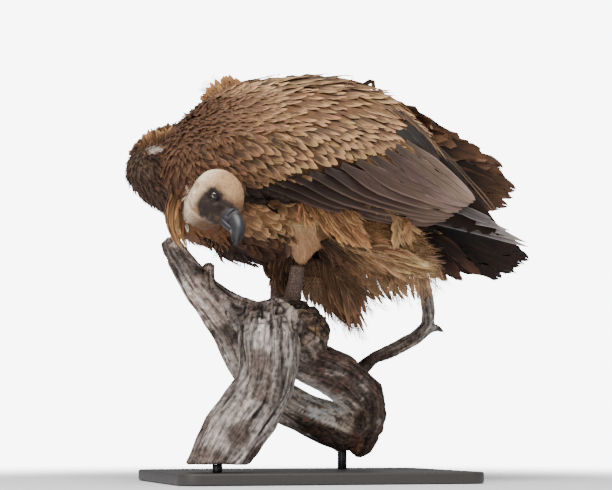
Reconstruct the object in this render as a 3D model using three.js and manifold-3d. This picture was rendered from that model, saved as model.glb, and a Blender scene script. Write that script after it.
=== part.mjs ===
// White-backed vulture (Gyps africanus), life size, standing hunched on a dead branch.
// Millimetres, +Z up. The bird faces -X, its left side is towards -Y, and the origin
// is the centre of the underside of the display base.
import * as THREE from 'three';
import { mergeVertices } from 'three/addons/utils/BufferGeometryUtils.js';
import Module from 'manifold-3d';

const wasm = await Module();
wasm.setup();

// ---------------------------------------------------------------- driving sizes
const GAP = 0.45;                // clearance that neighbouring pieces keep
const WIDE_GAP = 0.7;            // the same round pieces with sharp margins
const BASE = { length: 440, width: 330, height: 16, corner: 28, bevel: 2 };
const ROD_RADIUS = 7;
const SAW_CUT_HEIGHT = 28;       // where the branch is cut off level, above the base

const TRUNK_HEIGHT = 442;        // middle of the trunk, over the feet
const WING_THICKNESS = 40;       // folded wing at the wrist, with its coverts
const FEATHER_THICKNESS = 2.4;   // one flight feather as a solid blade
const TARSUS_RADIUS = 11;
const STANCE = 38;               // half the distance between the feet
const STANCE_MIDDLE = 3;         // the point between the feet, beside the bird's middle
const FOOT_X = -30;

const SKULL = new THREE.Vector3(-187, -199, 374);      // centre of the skull
const HEAD_FORWARD = new THREE.Vector3(0.42, -0.73, -0.54);
const HEAD_UP = new THREE.Vector3(0.64, -0.20, 0.74);
const EYE_RADIUS = 8.5;

const KNOB = { x: -34, y: 4, z: 211, halfX: 63, halfY: 84, halfZ: 42, power: 3 };

// ---------------------------------------------------------------- colours
const finish = (color, roughness = 0.9, metalness = 0) =>
  new THREE.MeshStandardMaterial({ color, roughness, metalness });

const FINISH = {
  mantle: finish('#8a6a48'),
  breast: finish('#a0723f'),
  flight: finish('#5d5149'),
  tail: finish('#2a2022'),
  down: finish('#e0c8a8'),
  neck: finish('#7a5136'),
  cere: finish('#8e8b95', 0.6),
  horn: finish('#6f727b', 0.4),
  eye: finish('#17110e', 0.1),
  leg: finish('#7a6e66', 0.7),
  claw: finish('#1f1f24', 0.4),
  wood: finish('#8d837c'),
  base: finish('#3a3735', 0.6),
  rod: finish('#2b2b2d', 0.4, 0.8),
};

// ---------------------------------------------------------------- mesh helpers
const vector = (list) => new THREE.Vector3(...list);

function bare(geometry) {
  for (const name of ['normal', 'uv']) geometry.deleteAttribute(name);
  return mergeVertices(geometry, 1e-5);
}

function volume(geometry) {
  const p = geometry.attributes.position;
  const [a, b, c] = [new THREE.Vector3(), new THREE.Vector3(), new THREE.Vector3()];
  let sum = 0;
  for (let i = 0; i < geometry.index.count; i += 3) {
    a.fromBufferAttribute(p, geometry.index.getX(i));
    b.fromBufferAttribute(p, geometry.index.getX(i + 1));
    c.fromBufferAttribute(p, geometry.index.getX(i + 2));
    sum += a.dot(b.cross(c));
  }
  return sum / 6;
}

function facingOut(geometry) {
  if (volume(geometry) > 0) return geometry;
  const index = geometry.index.array;
  for (let i = 0; i < index.length; i += 3) [index[i], index[i + 1]] = [index[i + 1], index[i]];
  return geometry;
}

// A closed form wrapped on a ball: place(t, angle) gives each point, where t runs from
// one end (0) to the other (1). A blunt form ends in flat cuts, another one in points.
function wrapped(sides, rings, place, blunt = false) {
  const geometry = bare(new THREE.SphereGeometry(1, sides, rings));
  const p = geometry.attributes.position;
  for (let i = 0; i < p.count; i++) {
    const theta = Math.acos(THREE.MathUtils.clamp(p.getY(i), -1, 1));
    const ring = Math.round((theta / Math.PI) * rings);
    const angle = Math.atan2(p.getZ(i), p.getX(i));
    const even = THREE.MathUtils.clamp((ring - 1) / (rings - 2), 0, 1);
    const t = blunt ? even : (1 - Math.cos((Math.PI * ring) / rings)) / 2;
    const point = place(t, angle, ring === 0 || ring === rings);
    p.setXYZ(i, point.x, point.y, point.z);
  }
  return facingOut(geometry);
}

const curve = (points) => new THREE.CatmullRomCurve3(points.map(vector), false, 'catmullrom', 0.5);
const sizes = (pairs) => curve(pairs.map(([a, b]) => [a, b, 0]));

// How far a form is drawn in at a rounded end, over the given share of its length.
function roundOff(t, share) {
  if (share === 0 || t > share) return 1;
  return Math.sqrt(Math.max(0, 1 - (1 - t / share) ** 2));
}

// A limb along a spine with elliptic sections: half sizes are [across, along up].
function limb({ spine, half, up = [0, 0, 1], sides = 14, rings = 12, round = [0.12, 0.12],
  blunt = false, bumps = () => 0 }) {
  const path = curve(spine);
  const size = sizes(half);
  const upward = vector(up);
  return wrapped(sides, rings, (t, angle, pole) => {
    const centre = path.getPoint(t);
    const ahead = path.getPoint(Math.min(1, t + 0.01)).sub(path.getPoint(Math.max(0, t - 0.01)));
    const side = ahead.clone().cross(upward).normalize();
    const top = side.clone().cross(ahead).normalize();
    const ends = blunt ? 1 : roundOff(t, round[0]) * roundOff(1 - t, round[1]);
    const s = size.getPoint(t).multiplyScalar(pole ? 0 : ends * (1 + bumps(t, angle)));
    return centre
      .addScaledVector(side, s.x * Math.cos(angle))
      .addScaledVector(top, s.y * Math.sin(angle));
  }, blunt);
}

// A folded wing: a lens-shaped shell over the flank. Each station gives its x and, as
// [y, z], the upper margin, the most outward point and the lower margin.
function foldedWing(stations, thickness, sides, rings) {
  const along = (key) => curve(stations.map((s) => [s.x, ...s[key]]));
  const [top, side, edge] = ['top', 'side', 'edge'].map(along);
  const thick = sizes(stations.map((s) => [s.thick * thickness, 0]));
  return wrapped(sides, rings, (t, angle) => {
    const v = (1 - Math.cos(angle)) / 2;
    const [a, b, c] = [top, side, edge].map((line) => line.getPoint(t));
    const control = b.clone().multiplyScalar(2).addScaledVector(a, -0.5).addScaledVector(c, -0.5);
    const point = a.clone().multiplyScalar((1 - v) ** 2)
      .addScaledVector(control, 2 * v * (1 - v)).addScaledVector(c, v * v);
    const run = control.clone().sub(a).multiplyScalar(1 - v).addScaledVector(c.clone().sub(control), v);
    const outward = new THREE.Vector3(0, -run.z, run.y).normalize();
    if (outward.y * b.y < 0) outward.negate();
    return point.addScaledVector(outward, (thick.getPoint(t).x / 2) * Math.sin(angle));
  });
}

// A flat feather blade from root to tip, lying at right angles to the given normal.
function blade(root, tip, normal, width, thickness = FEATHER_THICKNESS) {
  const length = vector(tip).distanceTo(vector(root));
  const outline = new THREE.Shape();
  outline.moveTo(0, -width * 0.3);
  outline.bezierCurveTo(length * 0.3, -width * 0.55, length * 0.75, -width * 0.6, length, -width * 0.08);
  outline.lineTo(length, width * 0.08);
  outline.bezierCurveTo(length * 0.75, width * 0.6, length * 0.3, width * 0.55, 0, width * 0.3);
  outline.closePath();
  const geometry = new THREE.ExtrudeGeometry(outline, {
    depth: thickness, bevelEnabled: false, curveSegments: 2,
  });
  const ahead = vector(tip).sub(vector(root)).normalize();
  const side = vector(normal).cross(ahead).normalize();
  const out = ahead.clone().cross(side).normalize();
  geometry.translate(0, 0, -thickness / 2);
  geometry.applyMatrix4(new THREE.Matrix4().makeBasis(ahead, side, out).setPosition(vector(root)));
  return facingOut(bare(geometry));
}

// ---------------------------------------------------------------- joining and cutting
function solid(geometry) {
  return new wasm.Manifold(new wasm.Mesh({
    numProp: 3,
    vertProperties: Float32Array.from(geometry.attributes.position.array),
    triVerts: Uint32Array.from(geometry.index.array),
  }));
}

function geometryOf(manifold) {
  const { vertProperties, triVerts } = manifold.getMesh();
  const geometry = new THREE.BufferGeometry();
  geometry.setAttribute('position', new THREE.BufferAttribute(vertProperties, 3));
  geometry.setIndex(new THREE.BufferAttribute(triVerts, 1));
  return geometry;
}

function grown(geometry, by) {
  const copy = geometry.clone();
  copy.computeVertexNormals();
  const [p, n] = [copy.attributes.position, copy.attributes.normal];
  for (let i = 0; i < p.count; i++) {
    p.setXYZ(i, p.getX(i) + n.getX(i) * by, p.getY(i) + n.getY(i) * by, p.getZ(i) + n.getZ(i) * by);
  }
  copy.deleteAttribute('normal');
  return copy;
}

const largest = (manifold) =>
  manifold.decompose().reduce((best, part) => (part.volume() > best.volume() ? part : best));

const joined = (geometries) =>
  geometryOf(largest(geometries.map(solid).reduce((sum, part) => sum.add(part))));

// A piece as it is left by its neighbours, each of which keeps a thin gap round it.
function clearOf(geometry, neighbours) {
  const cut = (rest, other) => rest.subtract(solid(grown(other, GAP)));
  return geometryOf(largest(neighbours.reduce(cut, solid(geometry))));
}

// The same where a neighbour has sharp margins: it is shifted a little each way instead.
function wellClearOf(geometry, neighbours) {
  const shifts = [[0, 0, 0], [1, 0, 0], [-1, 0, 0], [0, 1, 0], [0, -1, 0], [0, 0, 1], [0, 0, -1]];
  const cut = (rest, other) => shifts.reduce((left, shift) =>
    left.subtract(solid(other.clone().translate(...shift.map((way) => way * WIDE_GAP)))), rest);
  return geometryOf(largest(neighbours.reduce(cut, solid(geometry))));
}

// ---------------------------------------------------------------- trunk, thighs and wings
function trunkForm() {
  const z = TRUNK_HEIGHT;
  return limb({
    spine: [[-214, -8, z - 30], [-150, -2, z - 8], [-80, 0, z - 4], [0, 0, z], [80, 0, z + 5],
      [150, 0, z - 7], [210, 0, z - 40], [266, 0, z - 76]],
    half: [[70, 84], [100, 118], [112, 130], [112, 130], [95, 118], [66, 84], [46, 52], [24, 20]],
    sides: 14, rings: 14, round: [0.18, 0.1],
  });
}

function leftWingForm() {
  return foldedWing([
    { x: -246, top: [-108, 432], side: [-110, 430], edge: [-108, 426], thick: 0.1 },
    { x: -226, top: [-84, 488], side: [-130, 442], edge: [-116, 392], thick: 0.9 },
    { x: -180, top: [-45, 537], side: [-140, 462], edge: [-112, 382], thick: 1.1 },
    { x: -110, top: [-18, 580], side: [-150, 478], edge: [-112, 390], thick: 0.85 },
    { x: -20, top: [-6, 601], side: [-154, 474], edge: [-122, 385], thick: 0.7 },
    { x: 60, top: [-6, 598], side: [-148, 466], edge: [-128, 375], thick: 0.6 },
    { x: 140, top: [-14, 568], side: [-130, 450], edge: [-124, 364], thick: 0.5 },
    { x: 196, top: [-76, 468], side: [-114, 424], edge: [-112, 355], thick: 0.35 },
    { x: 240, top: [-88, 412], side: [-105, 384], edge: [-104, 350], thick: 0.24 },
    { x: 268, top: [-92, 376], side: [-98, 366], edge: [-99, 354], thick: 0.1 },
  ], WING_THICKNESS, 12, 15);
}

function rightWingForm() {
  return foldedWing([
    { x: -250, top: [130, 474], side: [130, 466], edge: [132, 456], thick: 0.1 },
    { x: -230, top: [112, 498], side: [132, 468], edge: [142, 428], thick: 2.0 },
    { x: -180, top: [68, 519], side: [132, 476], edge: [128, 392], thick: 2.2 },
    { x: -110, top: [20, 575], side: [160, 490], edge: [134, 382], thick: 0.95 },
    { x: -20, top: [6, 601], side: [158, 487], edge: [134, 385], thick: 0.7 },
    { x: 60, top: [6, 598], side: [151, 481], edge: [130, 383], thick: 0.6 },
    { x: 140, top: [16, 570], side: [136, 474], edge: [124, 387], thick: 0.5 },
    { x: 200, top: [42, 540], side: [121, 470], edge: [114, 396], thick: 0.4 },
    { x: 252, top: [70, 505], side: [108, 462], edge: [103, 414], thick: 0.15 },
  ], WING_THICKNESS, 12, 15);
}

// Blades fanned out between two root points and two tip points.
function fan({ roots, tips, normals, width, count, tipRow = () => 0 }) {
  const mix = ([a, b], k) => vector(a).lerp(vector(b), k);
  return joined(Array.from({ length: count }, (_, i) => {
    const k = i / (count - 1);
    const root = mix(roots, k);
    const tip = mix(tips, k);
    tip.lerp(root, -tipRow(k));
    const out = mix(normals, k);
    root.addScaledVector(out.clone().normalize(), (i % 2) * 1.2);
    return blade(root.toArray(), tip.toArray(), out.toArray(), width);
  }));
}

const leftFlightForm = () => fan({
  roots: [[196, -96, 440], [190, -106, 372]],
  tips: [[294, -93, 366], [319, -90, 341]],
  normals: [[0.2, -1, 0.15], [0.2, -1, 0]],
  width: 30, count: 4,
});

const rightFlightForm = () => fan({
  roots: [[186, 56, 534], [186, 112, 408]],
  tips: [[308, 90, 512], [346, 96, 414]],
  normals: [[0.2, 1, 0.3], [0.2, 1, 0]],
  width: 46, count: 5, tipRow: (k) => 0.28 * Math.sin(Math.PI * k),
});

const tailForm = () => fan({
  roots: [[160, -40, 392], [160, 40, 382]],
  tips: [[322, -88, 331], [310, 90, 304]],
  normals: [[0.4, -0.25, 1], [0.4, 0.25, 1]],
  width: 50, count: 8, tipRow: (k) => 0.16 * Math.sqrt(Math.sin(Math.PI * k)),
});

const thighForm = (side) => limb({
  spine: side < 0
    ? [[-34, -64, 400], [-26, -68, 365], [-24, -66, 336], [-26, -60, 308]]
    : [[-20, 60, 390], [-30, 58, 350], [-36, 52, 318], [-38, 50, 294]],
  half: [[52, 52], [38, 36], [25, 22], [14, 13]],
  up: [1, 0, 0], sides: 10, rings: 8, round: [0.25, 0.1],
});

const flankPlumes = () => limb({
  spine: [[-40, -70, 372], [30, -84, 356], [100, -84, 338], [186, -66, 300]],
  half: [[44, 34], [42, 48], [34, 48], [10, 16]],
  sides: 12, rings: 9, round: [0.25, 0.12],
});

const bellyPlumes = () => limb({
  spine: [[-10, 40, 330], [22, 34, 306], [50, 30, 268], [80, 30, 228]],
  half: [[46, 40], [38, 34], [26, 24], [7, 7]],
  up: [1, 0, 0.6], sides: 10, rings: 8, round: [0.25, 0.15],
});

// ---------------------------------------------------------------- neck and head
const lowerNeckForm = () => limb({
  spine: [[-128, 20, 386], [-156, -34, 370], [-178, -82, 366], [-186, -122, 364]],
  half: [[56, 54], [45, 42], [39, 35], [36, 34]],
  sides: 14, rings: 8, round: [0.1, 0.04],
});

const upperNeckForm = () => limb({
  spine: [[-184, -112, 366], [-184, -136, 374], [-188, -160, 382], [-192, -180, 386]],
  half: [[38, 38], [40, 40], [39, 39], [32, 33]],
  sides: 11, rings: 8, round: [0.2, 0.34],
});

const ruffForm = () => limb({
  spine: [[-176, -92, 432], [-206, -98, 396], [-216, -100, 360], [-206, -100, 322]],
  half: [[16, 12], [22, 15], [18, 12], [5, 4]],
  up: [1, 0, 0], sides: 8, rings: 8, round: [0.25, 0.2],
});

// The head is shaped in its own frame: x ahead, y up and z to the bird's right.
function headFrame() {
  const ahead = HEAD_FORWARD.clone().normalize();
  const right = ahead.clone().cross(HEAD_UP).normalize();
  const up = right.clone().cross(ahead).normalize();
  return new THREE.Matrix4().makeBasis(ahead, up, right).setPosition(SKULL);
}

const onHead = (geometry) => geometry.applyMatrix4(headFrame());

const skullForm = () => onHead(limb({
  spine: [[-42, 8, 0], [-22, 11, 0], [2, 10, 0], [22, 6, 0], [36, 2, 0]],
  half: [[25, 29], [32, 37], [31, 38], [24, 30], [13, 17]],
  up: [0, 1, 0], sides: 12, rings: 10, round: [0.35, 0.12],
}));

const cereForm = () => onHead(limb({
  spine: [[28, 1, 0], [38, 2, 0], [48, 2, 0]],
  half: [[12.5, 16], [10.5, 13.5], [9.5, 12.5]],
  up: [0, 1, 0], sides: 12, rings: 5, blunt: true,
}));

const upperBillForm = () => onHead(limb({
  spine: [[47, 1.5, 0], [60, 1, 0], [70, -4, 0], [78, -13.5, 0], [82, -26, 0]],
  half: [[9.4, 11.5], [8.4, 10.4], [6.8, 8.8], [4.4, 6.2], [1.2, 1.2]],
  up: [0.3, 1, 0], sides: 8, rings: 10, round: [0.02, 0.06],
}));

const lowerBillForm = () => onHead(limb({
  spine: [[34, -9, 0], [52, -9.5, 0], [67, -10, 0]],
  half: [[8, 4.5], [6.8, 3.8], [3.4, 2]],
  up: [0, 1, 0], sides: 8, rings: 6, round: [0.1, 0.2],
}));

function eyeForm(side) {
  const ball = bare(new THREE.SphereGeometry(EYE_RADIUS, 8, 6));
  return onHead(ball.translate(12, 8, side * 19.5));
}

// ---------------------------------------------------------------- branch
function knobHeight(x, y) {
  const { halfX, halfY, halfZ, power } = KNOB;
  const rest = 1 - Math.abs((x - KNOB.x) / halfX) ** power - Math.abs((y - KNOB.y) / halfY) ** power;
  return KNOB.z + halfZ * Math.max(0, rest) ** (1 / power);
}

function knobForm() {
  const { halfX, halfY, halfZ, power } = KNOB;
  const ball = bare(new THREE.SphereGeometry(1, 12, 9));
  const p = ball.attributes.position;
  for (let i = 0; i < p.count; i++) {
    const [x, y, z] = [p.getX(i), p.getY(i), p.getZ(i)];
    const reach = (Math.abs(x) ** power + Math.abs(y) ** power + Math.abs(z) ** power) ** (-1 / power);
    p.setXYZ(i, KNOB.x + x * reach * halfX, KNOB.y + z * reach * halfY, KNOB.z + y * reach * halfZ);
  }
  return facingOut(ball);
}

const gnarled = (depth, turns) => (t, angle) =>
  depth * (Math.sin(3 * angle + turns * t) + 0.6 * Math.sin(5 * angle - 2 * turns * t));

function stumpForm() {
  const whole = limb({
    spine: [[-183, -116, -12], [-161, -108, 26], [-125, -96, 78], [-94, -87, 118], [-80, -85, 158],
      [-79, -85, 206], [-76, -84, 262]],
    half: [[34, 34], [37, 37], [46, 45], [42, 43], [42, 42], [46, 40], [42, 34]],
    up: [0, 1, 0], sides: 12, rings: 11, round: [0.02, 0.1], bumps: gnarled(0.04, 5),
  });
  const below = bare(new THREE.BoxGeometry(400, 400, 200)).translate(-150, -100, SAW_CUT_HEIGHT - 100);
  return geometryOf(solid(whole).subtract(solid(below)));
}

const limbForm = () => joined([
  limb({
    spine: [[-187, 100, 362], [-161, 98, 317], [-128, 97, 274], [-90, 92, 228], [-62, 76, 164], [-16, 58, 112]],
    half: [[15, 15], [21, 21], [27, 27], [31, 31], [32, 32], [31, 31]],
    up: [0, 1, 0], sides: 12, rings: 12, round: [0.03, 0.02], bumps: gnarled(0.05, 7),
  }),
  limb({                           // the stub of a side branch
    spine: [[-124, 98, 284], [-124, 99, 308], [-122, 100, 326]],
    half: [[12, 12], [10, 10], [9, 9]],
    up: [0, 1, 0], sides: 7, rings: 5, round: [0.1, 0.12],
  }),
]);

const lowerLoopForm = () => joined([
  limb({
    spine: [[-24, 60, 119], [-2, 57, 107], [27, 54, 92], [61, 50, 78], [90, 42, 74], [100, 28, 100]],
    half: [[31, 31], [31, 31], [31, 31], [34, 34], [36, 36], [30, 30]],
    up: [0, 1, 0], sides: 10, rings: 8, round: [0.03, 0.22], bumps: gnarled(0.04, 4),
  }),
  limb({                           // the torn end below the bend
    spine: [[70, 44, 80], [94, 42, 68], [95, 41, 52], [88, 40, 36]],
    half: [[24, 24], [29, 30], [22, 23], [7, 9]],
    up: [0, 1, 0], sides: 8, rings: 6, round: [0.15, 0.1],
  }),
]);

const upperLoopForm = () => limb({
  spine: [[97, 36, 66], [102, 30, 90], [90, 12, 124], [41, -8, 157], [-8, -20, 172], [-34, -28, 186]],
  half: [[22, 24], [32, 32], [34, 34], [35, 34], [32, 31], [34, 34]],
  up: [0, 1, 0], sides: 10, rings: 9, round: [0.08, 0.03], bumps: gnarled(0.05, 5),
});

const twigForm = () => joined([
  limb({
    spine: [[88, 30, 158], [120, 50, 182], [164, 60, 199], [204, 60, 224], [213, 60, 246], [207, 60, 292],
      [205, 60, 306]],
    half: [[12, 12], [10, 10], [10, 10], [12, 12], [11, 11], [10, 10], [9, 9]],
    up: [0, 1, 0], sides: 7, rings: 11, round: [0.02, 0.03], bumps: gnarled(0.04, 6),
  }),
  limb({
    spine: [[202, 60, 224], [222, 60, 231], [240, 60, 222]],
    half: [[9, 9], [7, 7], [2, 2]],
    up: [0, 1, 0], sides: 6, rings: 5, round: [0.1, 0.1],
  }),
]);

const forkForm = () => limb({
  spine: [[-118, 98, 284], [-96, 92, 269], [-64, 84, 255], [-34, 66, 244]],
  half: [[14, 14], [13, 13], [14, 14], [15, 15]],
  up: [0, 1, 0], sides: 8, rings: 6, round: [0.05, 0.05],
});

// ---------------------------------------------------------------- legs and feet
const footY = (side) => STANCE_MIDDLE + side * STANCE;
const footTurn = (side) => (side < 0 ? -0.08 : -0.45);   // each foot toes in

const tarsusForm = (side) => limb({
  spine: [
    [FOOT_X + 2, side * (STANCE + 20), 312],
    [FOOT_X, side * (STANCE + 12), 286],
    [FOOT_X, footY(side), knobHeight(FOOT_X, footY(side)) + 10],
  ],
  half: [[10, 11], [TARSUS_RADIUS * 0.9, TARSUS_RADIUS], [13, 14]],
  up: [1, 0, 0], sides: 9, rings: 6, round: [0.05, 0.1],
});

const TOES = [
  { name: 'inner', turn: -0.46, length: 34, radius: 7.5, claw: 24 },
  { name: 'middle', turn: -0.02, length: 46, radius: 8.5, claw: 24 },
  { name: 'outer', turn: 0.44, length: 34, radius: 7, claw: 21 },
  { name: 'hind', turn: Math.PI + 0.5, length: 20, radius: 7, claw: 20 },
];

// A toe lies on the branch, from the foot's middle outwards, and ends in its claw.
function toeLine(side, toe, reach) {
  const turn = toe.turn + footTurn(side);
  const x = FOOT_X - 4 - Math.cos(turn) * reach;
  const y = footY(side) + side * Math.sin(turn) * reach;
  return [x, y, knobHeight(x, y)];
}

function toeForm(side, toe) {
  const spine = [-0.2, 0.3, 0.7, 1].map((k) => {    // toes start past the ankle so that they join
    const [x, y, z] = toeLine(side, toe, k * toe.length);
    return [x, y, z + toe.radius * (0.8 - 0.2 * k)];
  });
  const r = toe.radius;
  return limb({
    spine, half: [[r, r], [r * 0.95, r * 0.95], [r * 0.85, r * 0.85], [r * 0.8, r * 0.75]],
    sides: 6, rings: 3, round: [0.1, 0.12],
  });
}

function clawForm(side, toe) {
  const [x, y, z] = toeLine(side, toe, toe.length);
  const turn = toe.turn + footTurn(side);
  const ahead = [-Math.cos(turn), side * Math.sin(turn)];
  const start = toe.radius * 0.75;
  const spine = [[-3, start], [toe.claw * 0.35, start], [toe.claw * 0.7, start - 6], [toe.claw * 0.85, start - 16]]
    .map(([run, rise]) => [x + ahead[0] * run, y + ahead[1] * run, z + rise]);
  return limb({
    spine, half: [[4.4, 5], [3.8, 4.6], [2.6, 3.2], [0.7, 0.8]],
    sides: 5, rings: 5, round: [0.08, 0.08],
  });
}

// ---------------------------------------------------------------- display stand
function baseForm() {
  const { length, width, height, corner, bevel } = BASE;
  const [x, y] = [length / 2 - bevel, width / 2 - bevel];
  const outline = new THREE.Shape();
  outline.moveTo(-x + corner, -y);
  outline.lineTo(x - corner, -y);
  outline.absarc(x - corner, -y + corner, corner, -Math.PI / 2, 0);
  outline.lineTo(x, y - corner);
  outline.absarc(x - corner, y - corner, corner, 0, Math.PI / 2);
  outline.lineTo(-x + corner, y);
  outline.absarc(-x + corner, y - corner, corner, Math.PI / 2, Math.PI);
  outline.lineTo(-x, -y + corner);
  outline.absarc(-x + corner, -y + corner, corner, Math.PI, Math.PI * 1.5);
  const slab = new THREE.ExtrudeGeometry(outline, {
    depth: height - 2 * bevel, bevelThickness: bevel, bevelSize: bevel, bevelSegments: 1, curveSegments: 3,
  });
  slab.translate(0, 0, bevel);
  return facingOut(bare(slab));
}

function rodForm(x, y, top) {
  const bottom = BASE.height + GAP;
  const rod = new THREE.CylinderGeometry(ROD_RADIUS, ROD_RADIUS, top - bottom, 14);
  rod.rotateX(Math.PI / 2);
  rod.translate(x, y, (top + bottom) / 2);
  return facingOut(bare(rod));
}

// ---------------------------------------------------------------- the whole object
const vulture = new THREE.Group();

function add(name, geometry, material) {
  geometry.computeVertexNormals();
  const mesh = new THREE.Mesh(geometry, material);
  mesh.name = name;
  vulture.add(mesh);
  return geometry;
}

function addBody(trunk, wingLeft, wingRight) {
  const body = [trunk, wingLeft, wingRight];
  add('trunk', trunk, FINISH.breast);
  add('wing_left', clearOf(wingLeft, [trunk]), FINISH.mantle);
  add('wing_right', clearOf(wingRight, [trunk, wingLeft]), FINISH.mantle);
  const flank = flankPlumes();
  const belly = bellyPlumes();
  const thighs = [-1, 1].map(thighForm);
  add('thigh_left', clearOf(thighs[0], [...body]), FINISH.down);
  add('thigh_right', clearOf(thighs[1], [...body, thighs[0]]), FINISH.breast);
  add('flank_plumes', clearOf(flank, [...body, ...thighs]), FINISH.breast);
  add('belly_plumes', clearOf(belly, [...body, ...thighs, flank]), FINISH.breast);
  const flesh = [...body, ...thighs, flank, belly];
  add('wing_left_flight', wellClearOf(leftFlightForm(), [trunk, wingLeft]), FINISH.flight);
  add('wing_right_flight', wellClearOf(rightFlightForm(), [trunk, wingRight]), FINISH.flight);
  add('tail', wellClearOf(tailForm(), [trunk, flank, wingLeft]), FINISH.tail);
  return { flesh, thighs };
}

function addNeckAndHead(flesh) {
  const lower = lowerNeckForm();
  const upper = upperNeckForm();
  const skull = skullForm();
  const cere = cereForm();
  const eyes = [-1, 1].map(eyeForm);
  const upperBill = upperBillForm();
  add('neck_lower', clearOf(lower, flesh), FINISH.neck);
  add('neck_upper', clearOf(upper, [...flesh, lower, skull]), FINISH.down);
  add('ruff', clearOf(ruffForm(), [...flesh, lower, upper, skull]), FINISH.breast);
  add('head', clearOf(skull, [...eyes, cere]), FINISH.down);
  add('eye_left', eyes[0], FINISH.eye);
  add('eye_right', eyes[1], FINISH.eye);
  add('cere', cere, FINISH.cere);
  add('bill_upper', clearOf(upperBill, [cere]), FINISH.horn);
  add('bill_lower', clearOf(lowerBillForm(), [cere, skull, upperBill]), FINISH.horn);
}

function addBranch() {
  const stump = stumpForm();
  const knob = knobForm();
  const limbWood = limbForm();
  const lowerLoop = lowerLoopForm();
  const upperLoop = upperLoopForm();
  add('perch_stump', stump, FINISH.wood);
  add('perch_knob', clearOf(knob, [stump, limbWood]), FINISH.wood);
  add('perch_limb', limbWood, FINISH.wood);
  add('perch_loop_lower', clearOf(lowerLoop, [limbWood]), FINISH.wood);
  add('perch_loop_upper', wellClearOf(upperLoop, [lowerLoop, knob, stump]), FINISH.wood);
  add('perch_twig', clearOf(twigForm(), [upperLoop]), FINISH.wood);
  const fork = forkForm();
  add('perch_fork', clearOf(fork, [limbWood, knob]), FINISH.wood);
  return { perch: [stump, knob, limbWood, fork], lowerLoop };
}

function addLegs(thighs, perch) {
  ['left', 'right'].forEach((word, index) => {
    const side = index === 0 ? -1 : 1;
    const tarsus = tarsusForm(side);
    const claws = TOES.map((toe) => clawForm(side, toe));
    const foot = joined(TOES.map((toe) => toeForm(side, toe)));
    add(`tarsus_${word}`, clearOf(tarsus, [thighs[index], ...perch, foot]), FINISH.leg);
    add(`foot_${word}`, clearOf(foot, [...perch, ...claws]), FINISH.leg);
    TOES.forEach((toe, k) => add(`claw_${word}_${toe.name}`, clearOf(claws[k], perch), FINISH.claw));
  });
}

function addStand(lowerLoop) {
  add('stand_base', baseForm(), FINISH.base);
  add('stand_rod_front', rodForm(-157, -107, SAW_CUT_HEIGHT - GAP), FINISH.rod);
  add('stand_rod_back', clearOf(rodForm(70, 49, 60), [lowerLoop]), FINISH.rod);
}

const { flesh, thighs } = addBody(trunkForm(), leftWingForm(), rightWingForm());
addNeckAndHead(flesh);
const { perch, lowerLoop } = addBranch();
addLegs(thighs, perch);
addStand(lowerLoop);

export default vulture;
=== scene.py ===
import math

import bmesh
import bpy
import numpy as np
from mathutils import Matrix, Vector
from mathutils.bvhtree import BVHTree


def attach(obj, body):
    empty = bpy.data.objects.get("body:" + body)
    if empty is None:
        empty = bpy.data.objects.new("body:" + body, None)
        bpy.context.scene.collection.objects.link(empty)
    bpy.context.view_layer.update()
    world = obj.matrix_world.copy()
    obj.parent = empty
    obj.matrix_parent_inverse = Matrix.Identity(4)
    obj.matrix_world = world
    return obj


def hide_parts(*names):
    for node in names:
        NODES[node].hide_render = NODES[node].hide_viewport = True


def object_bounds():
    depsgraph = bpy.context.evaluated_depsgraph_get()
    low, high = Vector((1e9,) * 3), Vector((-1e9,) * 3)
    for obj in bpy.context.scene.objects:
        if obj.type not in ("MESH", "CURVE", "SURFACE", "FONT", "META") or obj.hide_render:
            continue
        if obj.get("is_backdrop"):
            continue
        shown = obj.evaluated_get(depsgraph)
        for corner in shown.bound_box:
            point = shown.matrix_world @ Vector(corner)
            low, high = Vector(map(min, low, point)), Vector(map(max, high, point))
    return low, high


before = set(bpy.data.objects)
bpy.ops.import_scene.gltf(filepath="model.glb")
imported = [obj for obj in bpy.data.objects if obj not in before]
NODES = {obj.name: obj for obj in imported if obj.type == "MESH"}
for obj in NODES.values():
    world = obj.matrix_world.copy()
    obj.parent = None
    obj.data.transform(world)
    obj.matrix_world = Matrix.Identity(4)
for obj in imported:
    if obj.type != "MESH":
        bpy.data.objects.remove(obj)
CAD_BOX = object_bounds()

# White-backed vulture on a dead branch. All working lengths are in millimetres in the CAD
# model's frame (+Z up, the bird faces -X, its left side is towards -Y); MM makes metres.
MM = 0.001
SEED = 1711
rng = np.random.default_rng(SEED)

FLESH = ("trunk", "wing_left", "wing_right", "thigh_left", "thigh_right", "flank_plumes",
         "belly_plumes", "neck_lower", "neck_upper", "head")
PERCH = ("perch_stump", "perch_knob", "perch_limb", "perch_loop_lower", "perch_loop_upper",
         "perch_twig", "perch_fork")
SKULL = np.array([-187.0, -199.0, 374.0])
HEAD_FORWARD = np.array([0.42, -0.73, -0.54])
HEAD_UP = np.array([0.64, -0.20, 0.74])


# ------------------------------------------------------------------ numbers
def unit(vectors):
    return vectors / np.maximum(np.linalg.norm(vectors, axis=-1, keepdims=True), 1e-9)


def dot(a, b):
    return np.sum(a * b, axis=-1, keepdims=True)


def smoothstep(low, high, value):
    t = np.clip((value - low) / (high - low), 0, 1)
    return t * t * (3 - 2 * t)


def linear(code):
    """An sRGB hex colour as linear red, green and blue; numbers are passed on as they are."""
    if not isinstance(code, str):
        return code
    parts = np.array([int(code[k:k + 2], 16) / 255 for k in (1, 3, 5)])
    return np.where(parts <= 0.04045, parts / 12.92, ((parts + 0.055) / 1.055) ** 2.4)


def mix(a, b, factor):
    a, b = linear(a), linear(b)
    return a + (b - a) * factor


def blend(a, b, factor):
    """Mixes colours or points, each by its own factor."""
    return mix(a, b, np.asarray(factor)[..., None])


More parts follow.
